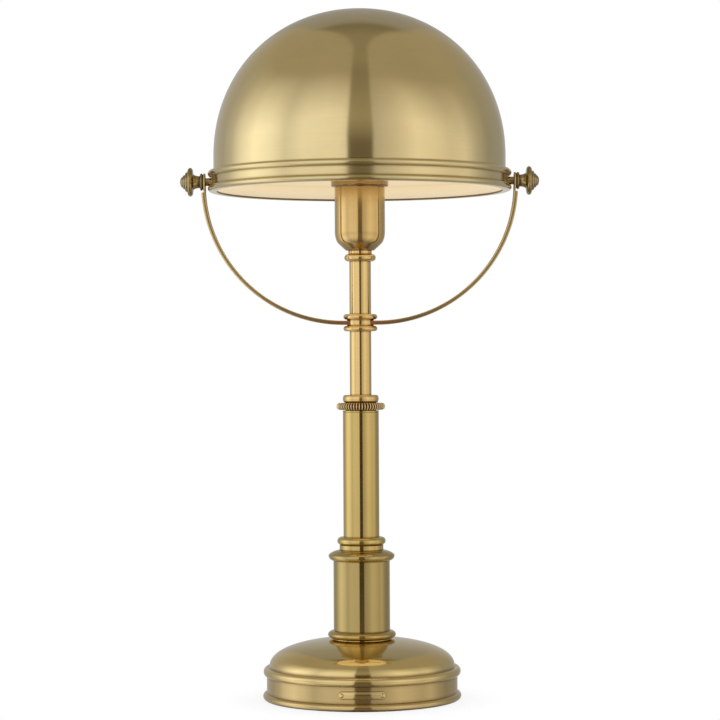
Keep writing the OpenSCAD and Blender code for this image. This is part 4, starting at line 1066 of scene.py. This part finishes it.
class LAMP_OT_cup(bpy.types.Operator):
    """Spin the cup that holds the lamp holder"""

    bl_idname = "lamp.cup"
    bl_label = "Cup"

    def execute(self, context):
        sizes = context.scene.lamp_shade
        low, high = levels("socket_cup")
        floor = low + sizes.cup_wall
        hole = outside("cup_nipple")
        flange = outside("socket_cup")
        flange_low = high - sizes.flange_height
        outline = [(hole, low)] + self.side(sizes, low, low, 0.0)
        outline += [(sizes.cup_radius, flange_low), (flange - sizes.flange_bevel, flange_low)]
        outline += [(flange, flange_low + sizes.flange_bevel), (flange, high)]
        outline += [(sizes.cup_radius - sizes.cup_wall, high)]
        outline += reversed(self.side(sizes, low, floor, sizes.cup_wall))
        outline += [(hole, floor)]
        turned("spun_cup", outline, CUP_EDGE, cup_brass(), "socket_cup")
        return {"FINISHED"}

    def side(self, sizes, low, foot, wall):
        """Cone that runs into a round shoulder, from the cup's foot up, drawn in by the wall."""
        centre = Vector((sizes.cup_radius - sizes.shoulder_width - wall, low + sizes.bowl_height))
        away = Vector((sizes.cup_foot - wall, foot)) - centre
        flat = Vector((away.x / sizes.shoulder_width, away.y / sizes.shoulder_height))
        start = math.degrees(math.atan2(flat.y, flat.x) + math.acos(1 / flat.length))
        curve = arc(centre, (sizes.shoulder_width, sizes.shoulder_height), start, 0)
        return [(sizes.cup_foot - wall, foot)] + curve


class LAMP_OT_bulb(bpy.types.Operator):
    """Blow the opal bulb and finish its holder"""

    bl_idname = "lamp.bulb"
    bl_label = "Bulb"

    def execute(self, context):
        sizes = context.scene.lamp_shade
        low, high = levels("bulb_globe")
        middle = high - sizes.globe_radius
        neck = outside("bulb_cap") - sizes.glass
        outer = self.side(sizes.globe_radius, neck, low, middle)
        inner = self.side(sizes.globe_radius - sizes.glass, neck - sizes.glass, low, middle)
        turned("opal_bulb", outer + inner[::-1], BULB_EDGE, opal_glass(), "bulb_globe", SMALL_SEGMENTS)
        paint(mottled("Glazed porcelain"), "lamp_holder")
        paint(mottled("Pressed brass"), "screw_shell", "centre_contact")
        paint(mottled("Rolled cap"), "bulb_cap")
        return {"FINISHED"}

    def side(self, radius, neck, low, middle):
        """Neck and globe from the cap up to the crown."""
        start = -math.degrees(math.acos(neck / radius))
        globe = arc((0.0, middle), (radius, radius), start, 90, LONG_STEPS)
        return [(neck, low)] + globe[:-1] + [(0.0, middle + radius)]


class LAMP_OT_shade(bpy.types.Operator):
    """Spin the shade's dome and lining and turn its rim"""

    bl_idname = "lamp.shade"
    bl_label = "Shade"

    def execute(self, context):
        sizes = context.scene.lamp_shade
        dome = self.shell(sizes, "shade_dome", sizes.dome_sheet)
        turned("spun_dome", dome, CRISP_EDGE, brass("Shade brass"), "shade_dome", SHADE_SEGMENTS)
        lining = self.shell(sizes, "shade_lining", sizes.lining_sheet)
        turned("spun_lining", lining, CRISP_EDGE, enamel(), "shade_lining", SHADE_SEGMENTS)
        rim = turned("turned_rim", self.rim(sizes), EDGE, brass("Rim brass"), "shade_rim", SHADE_SEGMENTS)
        rim.data.materials.append(mottled("Aged brass"))
        # Inward faces of the rim take the painted shade of the inner shade brass
        for face in rim.data.polygons:
            inwards = Vector((-face.center.x, -face.center.y, 0.0)).normalized()
            face.material_index = int(face.normal.dot(inwards) > INWARDS)
        self.skirt(sizes)
        return {"FINISHED"}

    def shell(self, sizes, node, sheet):
        """Straight wall and round top of a thin spun shell."""
        low, high = levels(node)
        middle = levels("shade_dome")[1] - sizes.dome_rise
        sides = []
        for inset in (0.0, sheet):
            reach = (outside(node) - inset, high - middle - inset)
            curve = full_curve((0.0, middle), reach, sizes.dome_fullness, steps=DOME_STEPS)
            sides.append([(reach[0], low)] + curve)
        return sides[0] + sides[1][::-1]

    def rim(self, sizes):
        """Two beads and a band, with a lip turned in under the lining."""
        low, high = levels("shade_rim")
        ledge = levels("shade_dome")[0]
        dome = outside("shade_dome")
        band = outside("shade_rim") - sizes.rim_bead_proud
        lip = dome - sizes.rim_lip
        outline = [(lip, low)]
        outline += bead(band, low, low + sizes.rim_low_bead, sizes.rim_bead_proud)
        outline += bead(band, high - sizes.rim_top_bead, high, sizes.rim_bead_proud)
        return outline + [(dome, high), (dome, ledge), (lip, ledge)]

    def skirt(self, sizes):
        """Enamel with the same painted glow on the rim's inside, down to its bare edge."""
        low = levels("shade_rim")[0] + sizes.rim_edge
        wall = outside("shade_dome") - sizes.rim_lip
        coat = tube(wall - sizes.rim_enamel, wall + sizes.rim_enamel, low, levels("shade_dome")[0])
        piece = lathe("rim_enamel", coat, SHADE_SEGMENTS)
        piece.data.materials.append(enamel())
        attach(piece, NODES["shade_lining"]["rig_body"])


class LAMP_OT_yoke(bpy.types.Operator):
    """Bend the yoke's strip and finish its pivots"""

    bl_idname = "lamp.yoke"
    bl_label = "Yoke"

    # Cuts along the straight middle, the bend and the tab's round end, which stops at this angle
    FLAT_STEPS = 8
    BEND_STEPS = 48
    TAB_STEPS = 16
    TAB_END = 88
    # Steps round a cut's corners, and the most that their round takes of its half width and thickness
    EDGE_STEPS = 3
    HALF_SHARE = 0.9
    THICK_SHARE = 1 / 2.2
    # Bends that stay sharp
    SHARP = math.radians(40)

    def execute(self, context):
        sizes = context.scene.lamp_column
        low = levels("yoke")[0]
        bend = sizes.strip_reach - sizes.strip_flat
        turn = low + sizes.strip_thickness + bend
        right = self.cuts(sizes, bend, turn)
        left = []
        for place, out, thick, half in right[:0:-1]:
            left.append((self.mirrored(place), self.mirrored(out), thick, half))
        form = bmesh.new()
        rings = [self.section(form, sizes.strip_round, *cut) for cut in left + right]
        piece = capped("bent_yoke", form, rings)
        piece.data.set_sharp_from_angle(angle=self.SHARP)
        stand_for(piece, yoke_brass(), "yoke")
        piece.data.materials.append(mottled("Aged brass"))
        piece.data.materials.append(brass("Copper brass"))
        # Inward faces take the painted shade of the inner shade brass, the strip's middle the painted red
        # reflection
        for face in piece.data.polygons:
            inwards = (Vector((0, 0, turn)) - face.center).normalized()
            inner_side = face.normal.dot(inwards) > INWARDS
            red_reflection = abs(face.center.x) < sizes.strip_red
            face.material_index = 1 if inner_side else 2 if red_reflection else 0
        self.eye(outside("lower_stem") + sizes.spool_waist, low, low + sizes.strip_thickness)
        paint(mottled("Stud brass"), "pivot_studs")
        paint(mottled("Fibre washer"), "pivot_washers")
        return {"FINISHED"}

    def cuts(self, sizes, bend, turn):
        """Place, outward direction, thickness and half width of each cut, from middle to right tab."""
        half = sizes.strip_width / 2
        thick = sizes.strip_thickness
        shoulder = PIVOT.z - sizes.tab_drop
        end = math.degrees(math.asin((turn - shoulder) / (bend + thick / 2)))
        cuts = []
        for step in range(self.FLAT_STEPS + 1):
            place = Vector((sizes.strip_flat * step / self.FLAT_STEPS, 0, turn - bend))
            cuts.append((place, Vector((0, 0, -1)), thick, half))
        for step in range(1, self.BEND_STEPS + 1):
            angle = math.radians(-90 + (90 - end) * step / self.BEND_STEPS)
            out = Vector((math.cos(angle), 0, math.sin(angle)))
            place = Vector((sizes.strip_flat, 0, turn)) + out * bend
            cuts.append((place, out, thick, half))
        thin = sizes.tab_thickness
        sideways = Vector((1, 0, 0))
        cuts.append((place, out, thin, half))
        cuts.append((Vector((sizes.strip_reach, 0, turn)), sideways, thin, half))
        for step in range(self.TAB_STEPS + 1):
            angle = math.radians(self.TAB_END * step / self.TAB_STEPS)
            place = Vector((sizes.strip_reach, 0, PIVOT.z + half * math.sin(angle)))
            cuts.append((place, sideways, thin, half * math.cos(angle)))
        return cuts

    def eye(self, radius, low, high):
        """Turned eye in the strip's middle, which the spool grips."""
        outline = tube(outside("hub_nipple"), radius, low, high)
        piece = lathe("turned_eye", soften(outline, CRISP_EDGE))
        piece.data.materials.append(brass("Stem brass"))
        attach(piece, NODES["yoke"]["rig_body"])

    def mirrored(self, vector):
        """The same vector on the left-hand side."""
        return Vector((-vector.x, vector.y, vector.z))

    def section(self, form, edge, place, out, thick, half):
        """Cut across the strip from its inner face outwards, with rounded corners."""
        edge = min(edge, half * self.HALF_SHARE, thick * self.THICK_SHARE)
        ring = []
        for across, depth, start in ((1, 1, 0), (-1, 1, 90), (-1, 0, 180), (1, 0, 270)):
            corner = (across * (half - edge), thick - edge if depth else edge)
            for y, reach in arc(corner, (edge, edge), start, start + 90, self.EDGE_STEPS):
                ring.append(form.verts.new(place + out * reach + Vector((0, y, 0))))
        return ring


class LAMP_OT_knobs(bpy.types.Operator):
    """Turn the two finial knobs"""

    bl_idname = "lamp.knobs"
    bl_label = "Knobs"

    def execute(self, context):
        sizes = context.scene.lamp_shade
        for node, side in (("right_knob", 1), ("left_knob", -1)):
            low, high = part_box(node)
            foot = low.x if side > 0 else high.x
            outline = self.outline(sizes, high.y, high.x - low.x)
            turn = Matrix.Rotation(math.radians(90 * side), 4, "Y")
            place = Matrix.Translation((foot, 0, PIVOT.z)) @ turn
            turned("turned_" + node, outline, FINE_EDGE, brass("Knob brass"), node, KNOB_SEGMENTS, place)
        return {"FINISHED"}

    def outline(self, sizes, disc, reach):
        """Knob along its own axis: base bead, waist, disc, two steps and a round tip."""
        waist_low = sizes.knob_base_length
        disc_low = waist_low + sizes.knob_waist_length
        disc_high = disc_low + sizes.knob_disc_thickness
        button_low = disc_high + sizes.knob_step_height
        tip_low = button_low + sizes.knob_step_height
        step = (sizes.knob_step_round, sizes.knob_step_height)
        points = [(0.0, 0.0)]
        points += bead(sizes.knob_waist, 0.0, waist_low, sizes.knob_base - sizes.knob_waist)
        flare = (sizes.knob_waist - sizes.knob_flare, sizes.knob_waist_length)
        points += arc((sizes.knob_flare, waist_low), flare, 0, 90)
        points += bead(disc - sizes.knob_disc_round, disc_low, disc_high, sizes.knob_disc_round)
        points += arc((sizes.knob_step - step[0], disc_high), step, 0, 90)
        points += arc((sizes.knob_button - step[0], button_low), step, 0, 90)
        return points + full_curve((0.0, tip_low), (sizes.knob_tip, reach - tip_low), ELLIPSE)


class LAMP_OT_controls(bpy.types.Operator):
    """Turn the push button and its bezel and finish the charging socket"""

    bl_idname = "lamp.controls"
    bl_label = "Button and Socket"

    # Round on the button's edge
    CROWN = 0.0008

    def execute(self, context):
        low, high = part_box("power_button")
        radius = high.x
        tall = high.y - low.y
        crown = (self.CROWN, self.CROWN)
        button = [(0.0, 0.0), (radius, 0.0)]
        button += arc((radius - self.CROWN, tall - self.CROWN), crown, 0, 90, SHORT_STEPS)
        self.place("turned_button", button + [(0.0, tall)], low, high, "power_button")
        low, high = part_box("button_bezel")
        bezel = tube(radius + FREE_PLAY, high.x, 0.0, high.y - low.y)
        self.place("turned_bezel", bezel, low, high, "button_bezel")
        paint(mottled("Plated steel"), "charge_port", "plate_screws", "stud_nuts")
        return {"FINISHED"}

    def place(self, name, outline, low, high, node):
        """Piece turned about the button's axis, which points out of the back."""
        turn = Matrix.Rotation(math.radians(-90), 4, "X")
        place = Matrix.Translation((0, low.y, (low.z + high.z) / 2)) @ turn
        turned(name, outline, FINE_EDGE, brass("Stem brass"), node, SMALL_SEGMENTS, place)


class LAMP_OT_inside(bpy.types.Operator):
    """Wind the lead, and finish the underside and what lies inside the lamp"""

    bl_idname = "lamp.inside"
    bl_label = "Underside and Inside"

    # Rings to a curl of the lead, and corners to a ring
    RINGS = 24
    CORNERS = 10
    # How much closer the curls lie at the ends, and the share of the lead that runs in to the axis
    CLOSER = 0.6
    RUN_IN = 0.1
    # Nodes that keep their own mesh, by finish
    PAINTED = {
        "Black paint": ("bottom_plate",),
        "Cast iron": ("base_weight",),
        "Cell wrap": ("battery_cells",),
        "Moulded black": ("battery_tray", "switch_body"),
        "Circuit board": ("control_board",),
        "Zinc plate": (
            "base_nipple", "nipple_washer", "nipple_nut", "hub_nipple", "cup_nipple", "cup_nut"),
        "Lead sheath": ("base_lead", "stem_lead"),
        "Bearing plastic": ("swivel_bush", "guide_piston"),
    }

    def execute(self, context):
        paint(felt(), "felt_ring")
        paint(brass("Column brass"), "tube_plug")
        for finish, nodes in self.PAINTED.items():
            paint(mottled(finish), *nodes)
        self.wind(context.scene.lamp_column)
        return {"FINISHED"}

    def wind(self, sizes):
        """Lead wound in the tube, closer towards its ends; in the lamp it stretches as the stem slides."""
        low, high = levels("coiled_lead")
        reach = outside("coiled_lead") - sizes.lead_radius
        count = sizes.lead_curls * self.RINGS
        route = []
        for step in range(count + 1):
            along = step / count
            angle = sizes.lead_curls * (math.tau * along + self.CLOSER * math.sin(math.tau * along))
            run_in = min(1.0, along / self.RUN_IN, (1 - along) / self.RUN_IN)
            out = reach * run_in ** 2 * (3 - 2 * run_in)
            route.append(Vector((out * math.cos(angle), out * math.sin(angle), low + (high - low) * along)))
        turns = [math.tau * corner / self.CORNERS for corner in range(self.CORNERS)]
        form = bmesh.new()
        rings = []
        for index, place in enumerate(route):
            ahead = (route[min(index + 1, count)] - route[max(index - 1, 0)]).normalized()
            side = ahead.cross((0, 0, 1)).normalized()
            up = side.cross(ahead)
            ring = []
            for turn in turns:
                out = side * math.cos(turn) + up * math.sin(turn)
                ring.append(form.verts.new(place + out * sizes.lead_radius))
            rings.append(ring)
        piece = capped("wound_lead", form, rings)
        piece.data.materials.append(mottled("Lead sheath"))
        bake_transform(piece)
        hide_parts("coiled_lead")


# Stage


class LAMP_OT_stage(bpy.types.Operator):
    """Set the white room, the table, the softboxes and the camera"""

    bl_idname = "lamp.stage"
    bl_label = "Stage"

    # Light round the lamp at its own level: degrees from the front, to the right, and level
    ROUND = (
        (-180, 0.5), (-135, 0.45), (-120, 0.62), (-106, 1.06), (-90, 1.4), (-75, 1.26), (-60, 0.9),
        (-45, 1.055), (-14, 0.99), (13, 0.61), (28, 0.77), (45, 1.04), (60, 0.97), (75, 0.82), (90, 0.86),
        (105, 0.54), (120, 0.36), (150, 0.36), (180, 0.5),
    )
    # Height at which that fades into the ceiling, in radians
    TOPS = ((-100, 0.19), (-30, 0.44), (30, 0.4), (60, 0.25), (100, 0.07), (140, 0.2))
    # Share of it towards the table: degrees above the lamp's own level
    TABLE = (
        (-90, 0.3), (-60, 0.35), (-38, 0.7), (-25, 0.95), (-13, 0.86), (-7.5, 0.72), (-2.5, 0.83), (1, 1.0),
    )
    # The dark gap between the softboxes: degrees from the front over the top to the back, and level
    GAP = (
        (-180, 0.62), (-170, 0.6), (-90, 0.12), (-12, 0.2), (-7.5, 0.27), (-5, 0.038), (-2.5, 0.05),
        (0, 0.085), (2.5, 0.11), (4, 0.17), (9, 0.2), (12, 0.27), (23, 0.39), (34, 0.35), (46, 0.285),
        (62, 0.255), (72, 0.31), (98, 0.3), (108, 0.25), (117, 0.2), (122, 0.32), (150, 0.35), (180, 0.5),
    )
    # Half the gap's width along those directions, and the sideways reach of its soft edge
    GAP_HALF = (
        (-90, 0.18), (0, 0.17), (12, 0.175), (46, 0.12), (85, 0.065), (98, 0.11), (122, 0.3), (180, 0.2),
    )
    GAP_EDGE = (-0.02, 0.015)
    # Degrees over which one thing fades into another: side into back, left tone into right tone,
    # softboxes into ceiling, low gap into high gap, and gap into back
    TO_BACK = (80, 125)
    TO_RIGHT = (-70, 30)
    TO_CEILING = (0, 34)
    TO_HIGH_GAP = (3, 14)
    TO_GAP_BACK = (116, 124)
    # Table: radius, level, paint, where its shadow starts and ends to fade, and the shadow's strength
    TABLE_RADIUS = 0.4
    TABLE_LEVEL = -0.0002
    TABLE_PAINT = (0.9, 0.9, 0.9)
    SHADOW_FADE = (0.09, 0.125)
    SHADOW = 0.12
    # Right-hand softbox: place, width, height, and the point on the lamp's axis that both look at
    BOX_PLACE = Vector((1.5, -1.1, 0.95))
    BOX_WIDTH = 1.3
    BOX_HEIGHT = 1.7
    BOX_AIM = Vector((0, 0, 0.35))
    # Width of the camera's film, in millimetres
    FILM = 36.0

    def execute(self, context):
        sizes = context.scene.lamp_stage
        context.scene.view_settings.view_transform = "Standard"
        self.room(context.scene, sizes)
        self.table()
        self.softbox("left_softbox", -1, sizes.left_light)
        self.softbox("right_softbox", 1, sizes.right_light)
        self.camera(context.scene, sizes)
        return {"FINISHED"}

    def room(self, scene, sizes):
        """White behind the lamp, a soft fill for matt surfaces, and a studio by direction for metal."""
        world = bpy.data.worlds.new("White room")
        world.use_nodes = True
        world.node_tree.nodes.clear()
        graph = Graph(world.node_tree)
        path = graph.add("ShaderNodeLightPath").outputs
        backgrounds = []
        for colour, strength in ((WHITE, sizes.fill), (WHITE, 1.0), (self.studio(graph, sizes), 1.0)):
            settings = {"Color": colour, "Strength": strength}
            backgrounds.append(graph.add("ShaderNodeBackground", settings).outputs[0])
        fill, white, studio = backgrounds
        shown = graph.math("MAXIMUM", path["Is Camera Ray"], path["Is Transmission Ray"])
        lit = graph.add("ShaderNodeMixShader", {0: shown, 1: fill, 2: white}).outputs[0]
        seen = graph.add("ShaderNodeMixShader", {0: path["Is Glossy Ray"], 1: lit, 2: studio})
        graph.add("ShaderNodeOutputWorld", {"Surface": seen.outputs[0]})
        scene.world = world

    def studio(self, graph, sizes):
        """Two softboxes with a dark gap between them, the dim back, the table and the ceiling."""
        toward = graph.add("ShaderNodeTexCoord").outputs["Generated"]
        split = graph.add("ShaderNodeSeparateXYZ", {0: toward}).outputs
        ahead = graph.math("MULTIPLY", split["Y"], -1.0)
        heading = graph.math("ARCTAN2", split["X"], ahead)
        height = graph.math("ARCSINE", split["Z"])
        over = graph.math("ARCTAN2", split["Z"], ahead)
        back = self.fade(graph, graph.math("ABSOLUTE", heading), self.TO_BACK)
        right = self.fade(graph, heading, self.TO_RIGHT)
        tone = graph.mix(right, opaque(sizes.left_tone), opaque(sizes.right_tone))
        level = self.tinted(graph, graph.mix(back, tone, WHITE), self.curve(graph, heading, self.ROUND))
        low = graph.mix(back, self.curve(graph, height, self.TABLE), WHITE)
        above = graph.math("SUBTRACT", height, self.curve(graph, heading, self.TOPS))
        up = self.fade(graph, above, self.TO_CEILING)
        boxes = graph.mix(up, self.tinted(graph, level, low), opaque(sizes.ceiling))
        high = self.fade(graph, over, self.TO_HIGH_GAP)
        tone = graph.mix(high, opaque(sizes.gap_low_tone), opaque(sizes.gap_tone))
        behind = self.fade(graph, graph.math("ABSOLUTE", over), self.TO_GAP_BACK)
        gap = self.tinted(graph, graph.mix(behind, tone, WHITE), self.curve(graph, over, self.GAP))
        across = graph.math("ABSOLUTE", graph.math("SUBTRACT", split["X"], sizes.gap_shift))
        past = graph.math("SUBTRACT", across, self.curve(graph, over, self.GAP_HALF))
        return graph.mix(graph.span(past, *self.GAP_EDGE, 1.0, 0.0), boxes, gap)

    def fade(self, graph, angle, ends):
        """Share that grows from nothing to all between two angles in degrees."""
        return graph.span(angle, math.radians(ends[0]), math.radians(ends[1]))

    def tinted(self, graph, first, second):
        """One colour seen through the other."""
        return graph.vector("MULTIPLY", {0: first, 1: second})

    def curve(self, graph, angle, stops):
        """Level between stops at angles in degrees."""
        node = graph.add("ShaderNodeValToRGB", {0: graph.span(angle, -math.pi, math.pi)})
        elements = node.color_ramp.elements
        while len(elements) > 1:
            elements.remove(elements[-1])
        for index, (place, level) in enumerate(stops):
            position = (place + 180) / 360
            stop = elements.new(position) if index else elements[0]
            stop.position = position
            stop.color = (level, level, level, 1.0)
        return node.outputs["Color"]

    def table(self):
        """White table that keeps a faint shadow close round the base and fades into the room."""
        form = bmesh.new()
        bmesh.ops.create_circle(form, cap_ends=True, radius=self.TABLE_RADIUS, segments=SMALL_SEGMENTS)
        table = mesh_object("table", form)
        table.location.z = self.TABLE_LEVEL
        material, graph, shader = new_material("White table")
        away = graph.vector("LENGTH", {0: graph.place()}, "Value")
        shadow = graph.span(away, *self.SHADOW_FADE, self.SHADOW, 0.0)
        matt = graph.add("ShaderNodeBsdfDiffuse", {"Color": opaque(self.TABLE_PAINT)})
        clear = graph.add("ShaderNodeBsdfTransparent")
        mixed = graph.add("ShaderNodeMixShader", {0: shadow, 1: clear.outputs[0], 2: matt.outputs[0]})
        material.node_tree.nodes.remove(shader)
        graph.feed(material.node_tree.nodes["Material Output"].inputs["Surface"], mixed.outputs[0])
        table.data.materials.append(material)

    def softbox(self, name, side, brightness):
        """Broad light on matt surfaces, with the given brightness of its face."""
        light = bpy.data.lights.new(name, "AREA")
        light.shape = "RECTANGLE"
        light.size = self.BOX_WIDTH
        light.size_y = self.BOX_HEIGHT
        light.energy = brightness * math.pi * self.BOX_WIDTH * self.BOX_HEIGHT
        box = bpy.data.objects.new(name, light)
        box.location = (side * self.BOX_PLACE.x, self.BOX_PLACE.y, self.BOX_PLACE.z)
        box.rotation_euler = (self.BOX_AIM - box.location).to_track_quat("-Z", "Y").to_euler()
        box.visible_camera = False
        box.visible_glossy = False
        bpy.context.scene.collection.objects.link(box)

    def camera(self, scene, sizes):
        """Level camera in front of the lamp."""
        data = bpy.data.cameras.new("camera")
        data.sensor_width = self.FILM
        data.lens = sizes.lens
        data.shift_x = sizes.side_shift
        data.shift_y = sizes.shift
        camera = bpy.data.objects.new("camera", data)
        camera.location = (0.0, -sizes.camera_distance, sizes.camera_height)
        camera.rotation_euler = (math.radians(90), sizes.camera_roll, 0.0)
        scene.collection.objects.link(camera)
        scene.camera = camera


class LAMP_PT_panel(bpy.types.Panel):
    """Lists the lamp's pieces in the order in which they are made"""

    bl_idname = "LAMP_PT_panel"
    bl_label = "Domed Desk Lamp"
    bl_space_type = "VIEW_3D"
    bl_region_type = "UI"
    bl_category = "Lamp"

    def draw(self, context):
        for operator in OPERATORS:
            self.layout.operator(operator.bl_idname)
        for group in GROUPS:
            box = self.layout.box()
            for key in getattr(context.scene, group).bl_rna.properties.keys():
                if key not in ("rna_type", "name"):
                    box.prop(getattr(context.scene, group), key)


GROUPS = {
    "lamp_base": LampBaseSizes,
    "lamp_column": LampColumnSizes,
    "lamp_shade": LampShadeSizes,
    "lamp_finish": LampFinish,
    "lamp_stage": LampStage,
}
OPERATORS = (
    LAMP_OT_stage, LAMP_OT_base, LAMP_OT_name_plate, LAMP_OT_pedestal, LAMP_OT_column, LAMP_OT_lock_ring,
    LAMP_OT_stem, LAMP_OT_cup, LAMP_OT_bulb, LAMP_OT_shade, LAMP_OT_yoke, LAMP_OT_knobs, LAMP_OT_controls,
    LAMP_OT_inside,
)


def register():
    """Adds the classes, and one group of properties each to the scene."""
    for group in GROUPS.values():
        bpy.utils.register_class(group)
    for name, group in GROUPS.items():
        setattr(bpy.types.Scene, name, PointerProperty(type=group))
    for operator in OPERATORS:
        bpy.utils.register_class(operator)
    bpy.utils.register_class(LAMP_PT_panel)


def unregister():
    """Takes away what register added."""
    bpy.utils.unregister_class(LAMP_PT_panel)
    for operator in reversed(OPERATORS):
        bpy.utils.unregister_class(operator)
    for name, group in GROUPS.items():
        delattr(bpy.types.Scene, name)
        bpy.utils.unregister_class(group)


def main():
    """Builds the lamp."""
    register()
    for operator in OPERATORS:
        family, name = operator.bl_idname.split(".")
        getattr(getattr(bpy.ops, family), name)()


if __name__ == "__main__":
    main()
